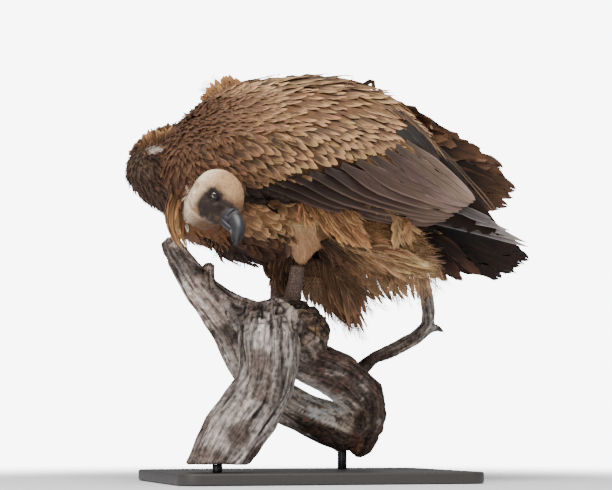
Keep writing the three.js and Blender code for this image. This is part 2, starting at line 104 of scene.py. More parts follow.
def spline(points, t):
    """Points on a smooth curve through the given ones, at t from 0 to 1."""
    p = np.asarray(points, float)
    p = np.vstack([2 * p[0] - p[1], p, 2 * p[-1] - p[-2]])
    s = np.clip(np.asarray(t, float), 0, 1) * (len(p) - 3)
    i = np.minimum(s.astype(int), len(p) - 4)
    f = (s - i)[..., None]
    a, b, c, d = (p[i + k] for k in range(4))
    return 0.5 * (2 * b + (c - a) * f + (2 * a - 5 * b + 4 * c - d) * f ** 2
                  + (3 * b - a - 3 * c + d) * f ** 3)


def lattice(cells, seed):
    h = cells[..., 0] * 73856093 ^ cells[..., 1] * 19349663 ^ cells[..., 2] * 83492791
    h = (h ^ (seed * 7919 + 101)) & 0xFFFFFFFF
    h = ((h ^ (h >> 15)) * 0x2C1B3C6D) & 0xFFFFFFFF
    h = ((h ^ (h >> 12)) * 0x297A2D39) & 0xFFFFFFFF
    return ((h ^ (h >> 15)) & 0xFFFF) / 32767.5 - 1


def noise(points, size, seed):
    """Smooth noise between -1 and 1 whose lumps are about size across."""
    q = points / size
    low = np.floor(q).astype(np.int64)
    f = q - low
    f = f * f * (3 - 2 * f)
    total = 0
    for corner in range(8):
        step = np.array([corner & 1, corner >> 1 & 1, corner >> 2])
        weight = np.prod(np.where(step, f, 1 - f), axis=-1)
        total = total + lattice(low + step, seed) * weight
    return total


def head_axes():
    ahead = unit(HEAD_FORWARD)
    right = unit(np.cross(ahead, HEAD_UP))
    return np.array([ahead, np.cross(right, ahead), right])


HEAD = head_axes()      # rows: ahead, up and to the bird's right


def from_head(points):
    return SKULL + np.asarray(points, float) @ HEAD


def to_head(points):
    return (points - SKULL) @ HEAD.T


def folded(q):
    """Points in the head's own frame, with its left side laid on its right one."""
    return q * np.array([1, 1, 0]) + np.abs(q) * np.array([0, 0, 1])


# ------------------------------------------------------------------ pieces
def deselect():
    bpy.ops.object.select_all(action="DESELECT")


def activate(obj):
    deselect()
    obj.select_set(True)
    bpy.context.view_layer.objects.active = obj


def placed(name, data):
    obj = bpy.data.objects.new(name, data)
    bpy.context.scene.collection.objects.link(obj)
    return obj


def finish_piece(obj, material, replaced):
    obj.data.materials.clear()
    obj.data.materials.append(material)
    obj.data.polygons.foreach_set("use_smooth", [True] * len(obj.data.polygons))
    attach(obj, "root")
    if replaced:
        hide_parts(*replaced)
    return obj


def mesh_object(name, points, quads):
    """A mesh object from points in millimetres and four-cornered faces."""
    mesh = bpy.data.meshes.new(name)
    mesh.vertices.add(len(points))
    mesh.vertices.foreach_set("co", (points * MM).astype(np.float32).ravel())
    mesh.loops.add(quads.size)
    mesh.loops.foreach_set("vertex_index", quads.astype(np.int32).ravel())
    mesh.polygons.add(len(quads))
    mesh.polygons.foreach_set("loop_start", np.arange(0, quads.size, 4, dtype=np.int32))
    mesh.update(calc_edges=True)
    return placed(name, mesh)


def set_uv(mesh, name, uv):
    layer = mesh.uv_layers.new(name=name)
    index = np.zeros(len(mesh.loops), np.int32)
    mesh.loops.foreach_get("vertex_index", index)
    layer.data.foreach_set("uv", uv[index].astype(np.float32).ravel())


def set_colour(mesh, name, colours):
    layer = mesh.attributes.new(name, "FLOAT_COLOR", "POINT")
    rgba = np.ones((len(colours), 4), np.float32)
    rgba[:, :3] = colours
    layer.data.foreach_set("color", rgba.ravel())


def set_value(mesh, name, values):
    mesh.attributes.new(name, "FLOAT", "POINT").data.foreach_set(
        "value", np.asarray(values, np.float32))


def points_of(mesh):
    co = np.zeros(len(mesh.vertices) * 3, np.float32)
    mesh.vertices.foreach_get("co", co)
    return co.reshape(-1, 3).astype(float) / MM


def triangles_of(mesh):
    """The corners of a mesh's triangles."""
    mesh.calc_loop_triangles()
    index = np.zeros(len(mesh.loop_triangles) * 3, np.int32)
    mesh.loop_triangles.foreach_get("vertices", index)
    return points_of(mesh)[index].reshape(-1, 3, 3)


def ordered_faces(mesh):
    """A mesh's faces sorted by their corners, as a primitive has them in another order each time."""
    faces = [list(p.vertices) for p in mesh.polygons]
    return sorted(face[face.index(min(face)):] + face[:face.index(min(face))] for face in faces)


def put_points(mesh, points):
    mesh.vertices.foreach_set("co", (points * MM).astype(np.float32).ravel())
    mesh.update()


def normals_of(mesh):
    n = np.zeros(len(mesh.vertices) * 3, np.float32)
    mesh.vertex_normals.foreach_get("vector", n)
    return n.reshape(-1, 3).astype(float)


def copy_of(node):
    return placed("copy_" + node, NODES[node].data.copy())


def edit_whole(obj, operator, **settings):
    """Runs one edit-mode operator on all of a mesh."""
    activate(obj)
    bpy.ops.object.mode_set(mode="EDIT")
    bpy.ops.mesh.select_all(action="SELECT")
    operator(**settings)
    bpy.ops.object.mode_set(mode="OBJECT")


def joined_copies(name, objects):
    """Joins objects into one mesh and merges their doubled corners."""
    deselect()
    for obj in objects:
        obj.select_set(True)
    bpy.context.view_layer.objects.active = objects[0]
    if len(objects) > 1:
        bpy.ops.object.join()
    obj = bpy.context.view_layer.objects.active
    obj.name = obj.data.name = name
    edit_whole(obj, bpy.ops.mesh.remove_doubles, threshold=0.00002)
    return obj


def apply_modifier(obj, kind, **settings):
    activate(obj)
    modifier = obj.modifiers.new(kind.title(), kind)
    for key, value in settings.items():
        setattr(modifier, key, value)
    bpy.ops.object.modifier_apply(modifier=modifier.name)


def wrapped(name, sides, rings, place):
    """A closed form shaped from a ball: place(t, angle) moves its points, t from end to end."""
    bpy.ops.mesh.primitive_uv_sphere_add(segments=sides, ring_count=rings, radius=1)
    ball = bpy.context.active_object
    co = points_of(ball.data) * MM
    ring = np.rint(np.arccos(np.clip(co[:, 2], -1, 1)) / math.pi * rings)
    angle = np.arctan2(co[:, 1], co[:, 0])
    points = place((1 - np.cos(math.pi * ring / rings)) / 2, angle)
    obj = placed(name, bpy.data.meshes.new(name))
    obj.data.from_pydata((points * MM).tolist(), [], ordered_faces(ball.data))
    bpy.data.objects.remove(ball)
    a, b, c = np.moveaxis(triangles_of(obj.data), 1, 0)
    if np.sum(np.cross(a, b) * c) < 0:      # the volume is negative where the faces look inwards
        obj.data.flip_normals()
    return obj


def round_off(t, share):
    if share == 0:
        return np.ones_like(t)
    return np.sqrt(np.clip(1 - (1 - np.minimum(t / share, 1)) ** 2, 0, 1))


def limb_points(spine, half, up, ends, power=2.0):
    """place() for wrapped: a limb along a curve, with half sizes [across, upward]."""
    def place(t, angle):
        ahead = spline(spine, np.minimum(t + 0.01, 1)) - spline(spine, np.maximum(t - 0.01, 0))
        side = unit(np.cross(ahead, np.asarray(up, float)))
        top = unit(np.cross(side, ahead))
        size = spline(half, t) * (round_off(t, ends[0]) * round_off(1 - t, ends[1]))[:, None]
        cosine, sine = np.cos(angle), np.sin(angle)
        x = np.sign(cosine) * np.abs(cosine) ** (2 / power)
        y = np.sign(sine) * np.abs(sine) ** (2 / power)
        return spline(spine, t) + side * (size[:, :1] * x[:, None]) + top * (size[:, 1:2] * y[:, None])
    return place


# ------------------------------------------------------------------ materials
MULTIPLIED = {"data_type": "RGBA", "blend_type": "MULTIPLY"}
ROOT_SHADE = 0.36       # how dark a vane is at its root, under the feathers in front of it


def feed(tree, node, inputs):
    """Gives a node its inputs, each a value, a socket, or a node that is read at its first output."""
    for key, value in inputs.items():
        source = value.outputs[0] if isinstance(value, bpy.types.Node) else value
        if isinstance(source, bpy.types.NodeSocket):
            tree.links.new(source, node.inputs[key])
        else:
            node.inputs[key].default_value = source


def add_node(tree, kind, inputs=None, stops=None, **settings):
    """Adds a node with its settings, its inputs and a ramp's colour stops."""
    node = tree.nodes.new("ShaderNode" + kind)
    for key, value in settings.items():
        setattr(node, key, value)
    feed(tree, node, inputs or {})
    if stops:
        elements = node.color_ramp.elements
        while len(elements) < len(stops):
            elements.new(0.5)
        for element, (place, colour) in zip(elements, stops):
            element.position = place
            element.color = colour
    return node


def rgba(code):
    return (*linear(code), 1.0)


def new_material(name):
    material = bpy.data.materials.new(name)
    material.use_nodes = True
    tree = material.node_tree
    return material, tree, tree.nodes["Principled BSDF"]


def vane_material(name, roughness=0.72, streak=0.3, edge_from=0.45, shaft=0.35, sheen=0.04):
    """Keratin vanes: matt, with fine barbs slanting off a shaft and a fringe of another tone."""
    material, tree, shader = new_material(name)
    centre = add_node(tree, "Attribute", attribute_name="centre")
    fringe = add_node(tree, "Attribute", attribute_name="fringe")
    grain = add_node(tree, "Attribute", attribute_name="grain")
    vane = add_node(tree, "UVMap", uv_map="Vane")
    axis = add_node(tree, "SeparateXYZ", {0: vane})
    along = axis.outputs[1]
    signed = add_node(tree, "Math", {0: axis, 1: 2.0, 2: -1.0}, operation="MULTIPLY_ADD")
    across = add_node(tree, "Math", {0: signed}, operation="ABSOLUTE")
    # barbs are too fine to show, so they are drawn about 1.2 mm apart in loose bundles
    slant = add_node(tree, "Math", {0: across, 1: -0.16, 2: along}, operation="MULTIPLY_ADD")
    place = add_node(tree, "CombineXYZ", {0: signed, 1: slant, 2: grain.outputs["Fac"]})
    scaled = add_node(tree, "VectorMath", {0: place, 1: (0.7, 26.0, 90.0)}, operation="MULTIPLY")
    barbs = add_node(tree, "TexNoise", {"Vector": scaled, "Scale": 1.0, "Detail": 3.0, "Roughness": 0.6})
    patch_at = add_node(tree, "VectorMath", {0: place, 1: (1.1, 3.0, 37.0)}, operation="MULTIPLY")
    patches = add_node(tree, "TexNoise", {"Vector": patch_at, "Scale": 1.0, "Detail": 2.0})
    rim = add_node(tree, "MapRange", {"Value": across, "From Min": edge_from, "From Max": 0.95},
                   interpolation_type="SMOOTHSTEP")
    tip = add_node(tree, "MapRange", {"Value": along, "From Min": 0.62, "From Max": 0.97},
                   interpolation_type="SMOOTHSTEP")
    either = add_node(tree, "Math", {0: rim, 1: tip}, operation="MAXIMUM")
    uneven = add_node(tree, "Math", {0: patches, 1: 0.9, 2: -0.45}, operation="MULTIPLY_ADD")
    worn = add_node(tree, "Math", {0: either, 1: uneven}, operation="ADD", use_clamp=True)
    base = add_node(tree, "Mix", {0: worn, 6: centre, 7: fringe}, data_type="RGBA")
    streaks = add_node(tree, "MapRange", {"Value": barbs, "From Min": 0.3, "From Max": 0.7,
                                          "To Min": 1 - streak, "To Max": 1 + 0.6 * streak})
    shade = add_node(tree, "MapRange", {"Value": along, "From Min": 0.15, "From Max": 0.8,
                                        "To Min": ROOT_SHADE, "To Max": 1.0})
    depth = add_node(tree, "Math", {0: streaks, 1: shade}, operation="MULTIPLY")
    toned = add_node(tree, "Mix", {0: 1.0, 6: base.outputs[2], 7: depth}, **MULTIPLIED)
    line = add_node(tree, "MapRange", {"Value": across, "From Min": 0.03, "From Max": 0.11,
                                       "To Min": shaft, "To Max": 0.0})
    shafted = add_node(tree, "Mix", {0: line, 6: toned.outputs[2], 7: rgba("#2E211A")}, data_type="RGBA")
    bump = add_node(tree, "Bump", {"Height": barbs, "Strength": 0.35, "Distance": 0.0008})
    feed(tree, shader, {"Base Color": shafted.outputs[2], "Normal": bump, "Roughness": roughness,
                        "Specular IOR Level": 0.25, "Sheen Weight": sheen, "Sheen Roughness": 0.5})
    return material


def down_material():
    """Down: loose matt barbs that scatter light, each blade toned on its own."""
    material, tree, shader = new_material("loose_down")
    centre = add_node(tree, "Attribute", attribute_name="centre")
    grain = add_node(tree, "Attribute", attribute_name="grain")
    tone = add_node(tree, "MapRange", {"Value": grain.outputs["Fac"], "To Min": 0.66, "To Max": 1.22})
    toned = add_node(tree, "Mix", {0: 1.0, 6: centre, 7: tone}, **MULTIPLIED)
    feed(tree, shader, {"Base Color": toned.outputs[2], "Roughness": 0.9, "Specular IOR Level": 0.15,
                        "Sheen Weight": 0.08})
    return material


def skin_material():
    """Thin bare skin with fine wrinkles on the face, dull down-covered skin elsewhere."""
    material, tree, shader = new_material("bare_skin")
    centre = add_node(tree, "Attribute", attribute_name="centre")
    place = add_node(tree, "TexCoord").outputs["Object"]
    folds = add_node(tree, "TexNoise", {"Vector": place, "Scale": 420.0, "Detail": 4.0, "Roughness": 0.6})
    pores = add_node(tree, "TexVoronoi", {"Vector": place, "Scale": 700.0})
    tone = add_node(tree, "MapRange", {"Value": folds, "From Min": 0.3, "From Max": 0.7,
                                       "To Min": 0.78, "To Max": 1.15})
    toned = add_node(tree, "Mix", {0: 1.0, 6: centre, 7: tone}, **MULTIPLIED)
    height = add_node(tree, "Math", {0: folds, 1: pores}, operation="ADD")
    bump = add_node(tree, "Bump", {"Height": height, "Strength": 0.5, "Distance": 0.0006})
    feed(tree, shader, {"Base Color": toned.outputs[2], "Normal": bump, "Roughness": 0.62,
                        "Specular IOR Level": 0.15})
    return material


def leg_material():
    """Scaled shanks: polygonal scutes in relief, painted darker in the creases as shade, with dusty patches.
    """
    material, tree, shader = new_material("scaled_leg")
    place = add_node(tree, "TexCoord").outputs["Object"]
    scutes = add_node(tree, "TexVoronoi", {"Vector": place, "Scale": 300.0}, feature="DISTANCE_TO_EDGE")
    groove = add_node(tree, "MapRange", {"Value": scutes, "From Min": 0.0, "From Max": 0.25},
                      interpolation_type="SMOOTHSTEP")
    dust = add_node(tree, "TexNoise", {"Vector": place, "Scale": 105.0, "Detail": 4.0})
    # painted shade: darkest in the grooves between the scutes; the dust noise darkens patches as well
    both = add_node(tree, "Math", {0: groove, 1: dust}, operation="MULTIPLY")
    tone = add_node(tree, "MapRange", {"Value": both, "From Min": 0.1, "From Max": 0.65,
                                       "To Min": 0.4, "To Max": 1.3})
    toned = add_node(tree, "Mix", {0: 1.0, 6: rgba("#7C6456"), 7: tone}, **MULTIPLIED)
    bump = add_node(tree, "Bump", {"Height": groove, "Strength": 1.0, "Distance": 0.0006})
    feed(tree, shader, {"Base Color": toned.outputs[2], "Normal": bump, "Roughness": 0.62})
    return material


def horn_material(name, roughness):
    """Horn: a smooth grey sheath with fine growth streaks and a low polish."""
    material, tree, shader = new_material(name)
    centre = add_node(tree, "Attribute", attribute_name="centre")
    place = add_node(tree, "TexCoord").outputs["Object"]
    growth = add_node(tree, "TexNoise", {"Vector": place, "Scale": 260.0, "Detail": 5.0, "Roughness": 0.65})
    tone = add_node(tree, "MapRange", {"Value": growth, "From Min": 0.3, "From Max": 0.7,
                                       "To Min": 0.86, "To Max": 1.1})
    toned = add_node(tree, "Mix", {0: 1.0, 6: centre, 7: tone}, **MULTIPLIED)
    bump = add_node(tree, "Bump", {"Height": growth, "Strength": 0.2, "Distance": 0.0004})
    feed(tree, shader, {"Base Color": toned.outputs[2], "Normal": bump, "Roughness": roughness})
    return material


def claw_material():
    """Black claw horn with a soft polish, darker in specks."""
    material, tree, shader = new_material("claw_horn")
    black = np.array(rgba("#26262B"))
    place = add_node(tree, "TexCoord").outputs["Object"]
    grain = add_node(tree, "TexNoise", {"Vector": place, "Scale": 350.0, "Detail": 4.0})
    ramp = add_node(tree, "ValToRGB", {0: grain}, [(0.3, black * [0.6, 0.6, 0.6, 1]), (0.7, black)])
    feed(tree, shader, {"Base Color": ramp, "Roughness": 0.34})
    return material


def eye_material():
    """A wet eye: black pupil, dark brown iris with radial threads, under a clear coat."""
    material, tree, shader = new_material("wet_eye")
    rings = ((0.0, "#050404"), (0.235, "#050404"), (0.255, "#2E1B10"), (0.42, "#24150D"),
             (0.47, "#0D0807"), (0.6, "#1C1411"))
    off = add_node(tree, "Attribute", attribute_name="off_axis")
    place = add_node(tree, "TexCoord").outputs["Object"]
    threads = add_node(tree, "TexNoise", {"Vector": place, "Scale": 900.0, "Detail": 3.0})
    uneven = add_node(tree, "Math", {0: threads, 1: 0.08, 2: off.outputs["Fac"]}, operation="MULTIPLY_ADD")
    ramp = add_node(tree, "ValToRGB", {0: uneven}, [(at, rgba(code)) for at, code in rings])
    feed(tree, shader, {"Base Color": ramp, "Roughness": 0.12, "Coat Weight": 1.0, "Coat Roughness": 0.02})
    return material


def wood_material():
    """Sun-bleached dead wood: dull, finely checked along the grain."""
    material, tree, shader = new_material("dead_wood")
    centre = add_node(tree, "Attribute", attribute_name="centre")
    run = add_node(tree, "Attribute", attribute_name="run")
    place = add_node(tree, "TexCoord").outputs["Object"]
    turn = add_node(tree, "Attribute", attribute_name="turn")
    grain_at = add_node(tree, "CombineXYZ", {0: run.outputs["Fac"], 1: turn.outputs["Fac"], 2: 0.0})
    scaled = add_node(tree, "VectorMath", {0: grain_at, 1: (0.045, 0.9, 1.0)}, operation="MULTIPLY")
    checks = add_node(tree, "TexNoise", {"Vector": scaled, "Scale": 1.0, "Detail": 5.0, "Roughness": 0.7})
    pits = add_node(tree, "TexNoise", {"Vector": place, "Scale": 160.0, "Detail": 6.0, "Roughness": 0.65})
    height = add_node(tree, "Math", {0: checks, 1: pits}, operation="ADD")
    tone = add_node(tree, "MapRange", {"Value": height, "From Min": 0.75, "From Max": 1.25,
                                       "To Min": 0.32, "To Max": 1.5})
    toned = add_node(tree, "Mix", {0: 1.0, 6: centre, 7: tone}, **MULTIPLIED)
    bump = add_node(tree, "Bump", {"Height": height, "Strength": 0.7, "Distance": 0.0016})
    feed(tree, shader, {"Base Color": toned.outputs[2], "Normal": bump, "Roughness": 0.88,
                        "Specular IOR Level": 0.2})
    return material


def paint_material(name, code, roughness, metallic=0.0):
    """Even paint or dark steel, with a little unevenness in its polish."""
    material, tree, shader = new_material(name)
    place = add_node(tree, "TexCoord").outputs["Object"]
    wear = add_node(tree, "TexNoise", {"Vector": place, "Scale": 60.0, "Detail": 5.0})
    polish = add_node(tree, "MapRange",
                      {"Value": wear, "To Min": roughness - 0.08, "To Max": roughness + 0.08})
    feed(tree, shader, {"Roughness": polish, "Base Color": rgba(code), "Metallic": metallic})
    return material


VANES = vane_material("contour_feathers")
QUILLS = vane_material("flight_feathers", roughness=0.6, streak=0.22, edge_from=0.7, shaft=0.5, sheen=0.05)
DOWN = down_material()
SKIN_FINISH = skin_material()
CERE_FINISH = horn_material("cere_hide", 0.5)
HORN_FINISH = horn_material("bill_horn", 0.42)
CLAW_FINISH = claw_material()
EYE_FINISH = eye_material()
LEG_FINISH = leg_material()
WOOD_FINISH = wood_material()
PAINT_FINISH = paint_material("painted_board", "#3A3735", 0.55)
STEEL_FINISH = paint_material("dark_steel", "#3B3B3E", 0.38, 1.0)


# ------------------------------------------------------------------ skin
# how far the skin lies under the outline of the coat, by node
COAT_DEPTH = {"trunk": 8.0, "wing_left": 5.0, "wing_right": 5.0, "thigh_left": 5.0,
              "thigh_right": 6.0, "flank_plumes": 14.0, "belly_plumes": 12.0, "neck_lower": 6.0,
              "neck_upper": 11.0, "head": 1.2}
SKULL_SPINE = [[-42, 8, 0], [-22, 11, 0], [2, 10, 0], [22, 6, 0], [36, 2, 0]]
SKULL_HALF = [[25, 29], [32, 37], [31, 38], [24, 30], [13, 17]]
EYE_AT = np.array([12.0, 8.0, 19.5])
EYE_RADIUS = 8.3
FACE_CENTRE = np.array([6.0, 4.0, 0.0])


def in_head(place):
    return lambda t, angle: from_head(place(t, angle))


def head_form():
    return wrapped("head_form", 40, 32, in_head(
        limb_points(SKULL_SPINE, SKULL_HALF, (0, 1, 0), ends=(0.35, 0.12))))


def eye_place(side):
    """An eyeball's centre and gaze in the head's own frame; side is -1 for left and 1 for right."""
    return EYE_AT * np.array([1, 1, side]), unit(np.array([0.42, 0.02, side * 0.9]))


class Surface:
    """A mesh to lie feathers on: nearest points, outward normals and rays."""

    def __init__(self, points, polygons):
        self.tree = BVHTree.FromPolygons(points.tolist(), polygons)

    def nearest(self, points):
        found = [self.tree.find_nearest(p) for p in points.reshape(-1, 3).tolist()]
        near = np.array([f[0] for f in found])
        normal = np.array([f[1] for f in found])
        index = np.array([f[2] for f in found])
        return near, normal, index

    def reach(self, origin, direction, limit):
        hit = self.tree.ray_cast(Vector(origin), Vector(direction), limit)
        return limit if hit[3] is None else hit[3]


def polygons_of(mesh):
    return [tuple(p.vertices) for p in mesh.polygons]


def flesh_labels():
    """The CAD flesh as one surface, with the node that each of its faces belongs to."""
    points, polygons, labels = [], [], []
    for number, node in enumerate(FLESH):
        mesh = NODES[node].data
        start = sum(len(p) for p in points)
        points.append(points_of(mesh))
        polygons += [tuple(v + start for v in p.vertices) for p in mesh.polygons]
        labels += [number] * len(mesh.polygons)
    return Surface(np.vstack(points), polygons), np.array(labels)


FLESH_SURFACE, FLESH_LABELS = flesh_labels()


def labels_at(points):
    return FLESH_LABELS[FLESH_SURFACE.nearest(points)[2]]


def offset_from(points, centre, radii):
    """How far points are from a centre, 1 being the surface of an ellipsoid round it."""
    return np.linalg.norm((points - np.array(centre)) / np.array(radii), axis=-1)


def bump_at(points, centre, radii, height):
    """A soft swelling, or a hollow with a negative height, in the frame of the points."""
    return height * np.exp(-offset_from(points, centre, radii) ** 2)


def crease_at(points, line, width, depth):
    """A fold along a curve in the frame of the points."""
    path = spline(line, np.linspace(0, 1, 24))
    gap = np.min(np.linalg.norm(points[:, None] - path[None], axis=-1), axis=1)
    return -depth * np.exp(-(gap / width) ** 2)


def face_relief(local):
    """Brows, lores, cheeks and the folds behind the gape; both sides alike."""
    q = folded(local)
    height = bump_at(q, (21, 19, 19), (11, 4.5, 7), 2.6)
    height += bump_at(q, (16, 8, 28), (9, 7, 8), -3.0)
    height += bump_at(q, (33, 3, 16), (7, 6, 6), -2.2)
    height += bump_at(q, (6, -12, 27), (14, 9, 9), 1.6)
    height += bump_at(q, (-14, -3, 31), (4, 5, 5), -2.4)
    height += crease_at(q, [(44, -12, 9), (30, -14, 15), (14, -15, 21), (4, -12, 26)], 1.5, 1.5)
    height += crease_at(q, [(26, -2, 22), (18, -5, 26), (8, -5, 29)], 1.1, 0.8)
    height += crease_at(q, [(24, -8, 20), (14, -11, 24), (2, -10, 28)], 1.1, 0.7)
    height += crease_at(q, [(34, 12, 10), (36, 6, 14), (34, -2, 16)], 1.2, 0.8)
    return height + 0.45 * noise(local, 5.0, 3) + 0.25 * noise(local, 2.2, 4)


def open_lids(local):
    """Draws the skin over each eyeball into lids round an almond opening."""
    for side in (-1, 1):
        centre, gaze = eye_place(side)
        level = unit(np.cross(np.array([0, 1, 0]), gaze)) * -side
        rise = np.cross(gaze, level) * side
        off = local - centre
        distance = np.linalg.norm(off, axis=-1)
        ray = off / distance[:, None]
        x = np.arctan2(ray @ level, ray @ gaze)
        y = np.arctan2(ray @ rise, ray @ gaze)
        slit = np.hypot(x / 0.66, (y + 0.05) / 0.46)
        front = (ray @ gaze > 0) & (distance < 26)
        lid = smoothstep(2.5, 1.5, slit) * front
        inside = smoothstep(1.04, 0.9, slit) * front
        rim = np.exp(-((slit - 1.14) / 0.16) ** 2)
        fold = np.exp(-((slit - 1.75) / 0.14) ** 2)
        radius = mix(distance, EYE_RADIUS + 0.7 + 1.1 * rim - 0.9 * fold, lid)
        radius = mix(radius, EYE_RADIUS * 0.72, inside)
        local = centre + ray * radius[:, None]
    return local


def make_skin():
    """One closed skin in place of the flesh, sunk by the depth of the coat, fine on the head."""
    parts = [copy_of(node) for node in FLESH if node != "head"] + [head_form()]
    skin = joined_copies("skin", parts)
    apply_modifier(skin, "REMESH", mode="VOXEL", voxel_size=0.005)
    apply_modifier(skin, "SMOOTH", factor=0.5, iterations=4)
    mesh = skin.data
    points, normals = points_of(mesh), normals_of(mesh)
    labels = labels_at(points)
    own = Surface(points, polygons_of(mesh))
    thick = np.array([own.reach(p - 0.5 * n, -n, 80.0) for p, n in zip(points, normals)])
    depth = np.array([COAT_DEPTH[node] for node in FLESH])[labels]
    knee = bump_at(points, (-44, -96, 316), (16, 34, 14), 7.0)
    knee += bump_at(points, (-24, -96, 312), (14, 34, 12), 5.0)
    put_points(mesh, points + normals * (knee - np.minimum(depth, 0.35 * thick))[:, None])
    apply_modifier(skin, "SMOOTH", factor=0.5, iterations=6)

    mesh = skin.data
    face = to_head(points_of(mesh))
    on_head = (face[:, 0] > -34) & (np.linalg.norm(face - FACE_CENTRE, axis=1) < 46)
    editing = bmesh.new()
    editing.from_mesh(mesh)
    editing.verts.ensure_lookup_table()
    edges = [e for e in editing.edges if all(on_head[v.index] for v in e.verts)]
    bmesh.ops.subdivide_edges(editing, edges=edges, cuts=3, use_grid_fill=True)
    editing.to_mesh(mesh)
    editing.free()

    target = head_form()
    target_surface = Surface(points_of(target.data), polygons_of(target.data))
    bpy.data.objects.remove(target)
    points = points_of(mesh)
    local = to_head(points)
    pull = smoothstep(-30, -18, local[:, 0]) * smoothstep(50, 42, np.linalg.norm(local - FACE_CENTRE, axis=1))
    chosen = np.flatnonzero(pull > 0)
    near, out, _ = target_surface.nearest(points[chosen])
    relief = face_relief(to_head(near)) - COAT_DEPTH["head"]
    moved = blend(points[chosen], near + out * relief[:, None], pull[chosen])
    points[chosen] = from_head(open_lids(to_head(moved)))
    put_points(mesh, points)
    edit_whole(skin, bpy.ops.uv.smart_project, angle_limit=1.15, island_margin=0.002)
    mesh.uv_layers[0].name = "OFBake"
    return skin


SKIN = make_skin()


class Ground:
    """The skin as loose triangles to draw feather roots from."""

    def __init__(self, mesh):
        points = points_of(mesh)
        self.surface = Surface(points, polygons_of(mesh))
        mesh.calc_loop_triangles()
        count = len(mesh.loop_triangles)
        corner = np.zeros(count * 3, np.int32)
        mesh.loop_triangles.foreach_get("vertices", corner)
        loops = np.zeros(count * 3, np.int32)
        mesh.loop_triangles.foreach_get("loops", loops)
        uv = np.zeros(len(mesh.loops) * 2, np.float32)
        mesh.uv_layers["OFBake"].data.foreach_get("uv", uv)
        self.corners = points[corner].reshape(-1, 3, 3)
        self.normals = normals_of(mesh)[corner].reshape(-1, 3, 3)
        self.uv = uv.reshape(-1, 2)[loops].reshape(-1, 3, 2).astype(float)
        self.middle = self.corners.mean(axis=1)
        edge = self.corners[:, 1:] - self.corners[:, :1]
        self.area = np.linalg.norm(np.cross(edge[:, 0], edge[:, 1]), axis=1) / 2
        self.label = labels_at(self.middle)
        self.uv_tree = Surface(points, corner.reshape(-1, 3).tolist())

    def root_uv(self, points):
        return self.uv[self.uv_tree.nearest(points)[2]].mean(axis=1)


GROUND = Ground(SKIN.data)
OPEN_TILTS = [(0, 0)] + [(0.9, k * math.pi / 2) for k in range(4)]
VIEW_REACH, FREE_REACH, FREE_WAYS = 80.0, 75.0, 2


def is_open(point, normal):
    """Whether a root can be seen at all: enough ways out of it are free of other skin."""
    side = unit(np.cross(normal, [0.31, 0.59, 0.74]))
    other = np.cross(normal, side)
    start = point + normal * 4
    free = 0
    for tilt, turn in OPEN_TILTS:
        way = normal * math.cos(tilt) + math.sin(tilt) * (side * math.cos(turn) + other * math.sin(turn))
        free += GROUND.surface.reach(start, way, VIEW_REACH) > FREE_REACH
    return free >= FREE_WAYS


def thin_out(points, gaps, ways, stretch):
    """Keeps the points, taken in order, that stand clear of every kept one, most so along the lie."""
    cell = gaps.max() * stretch
    keys = np.floor(points / cell).astype(int)
    around = [(a, b, c) for a in (-1, 0, 1) for b in (-1, 0, 1) for c in (-1, 0, 1)]
    kept, boxes = [], {}
    for i, (x, y, z) in enumerate(keys.tolist()):
        near = [j for a, b, c in around for j in boxes.get((x + a, y + b, z + c), ())]
        if near:
            off = points[near] - points[i]
            apart = np.sum(off ** 2, axis=1) - (off @ ways[i]) ** 2 * (1 - stretch ** -2)
            if apart.min() < gaps[i] ** 2:
                continue
        boxes.setdefault((x, y, z), []).append(i)
        kept.append(i)
    return np.array(kept, int)


def scatter(where, gap, heading=None, stretch=1.0):
    """Roots spread evenly over a region: points, normals and places on the skin's unwrap."""
    mask = where(GROUND.middle, GROUND.label)
    chosen = np.flatnonzero(mask)
    area = GROUND.area[chosen]
    middle_gap = gap(GROUND.middle[chosen])
    weight = area / middle_gap ** 2
    count = int(weight.sum() * 7 / stretch) + 1
    pick = chosen[rng.choice(len(chosen), count, p=weight / weight.sum())]
    a, b = rng.random(count), rng.random(count)
    flip = a + b > 1
    a, b = np.where(flip, 1 - a, a), np.where(flip, 1 - b, b)
    share = np.stack([1 - a - b, a, b], axis=1)[:, :, None]
    points = np.sum(GROUND.corners[pick] * share, axis=1)
    normals = unit(np.sum(GROUND.normals[pick] * share, axis=1))
    uv = np.sum(GROUND.uv[pick] * share, axis=1)
    ways = np.zeros_like(points) if heading is None else lying(heading(points), normals)
    kept = thin_out(points, gap(points), ways, stretch)
    kept = np.array([k for k in kept if is_open(points[k], normals[k])], int)
    return points[kept], normals[kept], uv[kept]


# ------------------------------------------------------------------ feathers
ROWS = np.array([0.0, 0.16, 0.36, 0.56, 0.74, 0.87, 0.95, 1.0])
COLUMNS = np.array([-1.0, -0.55, 0.0, 0.55, 1.0])
BARB_ROWS = np.array([0, 0.45, 1.0])
BAKE_PATCH = 0.003
ROOT_SINK = 1.5         # how deep a root lies under the skin


def vane_half(t, point):
    """Half width along a vane, against its widest: point 0 is a round tip, 1 a drawn-out one."""
    rise = 0.4 + 0.6 * smoothstep(0, 0.5, t)
    blunt = np.sqrt(np.clip(1 - np.clip((t - 0.6) / 0.4, 0, 1) ** 2, 0.004, 1))
    sharp = np.clip(1 - np.clip((t - 0.3) / 0.7, 0, 1) ** 1.8, 0.03, 1)
    return rise * (blunt + (sharp - blunt) * point)


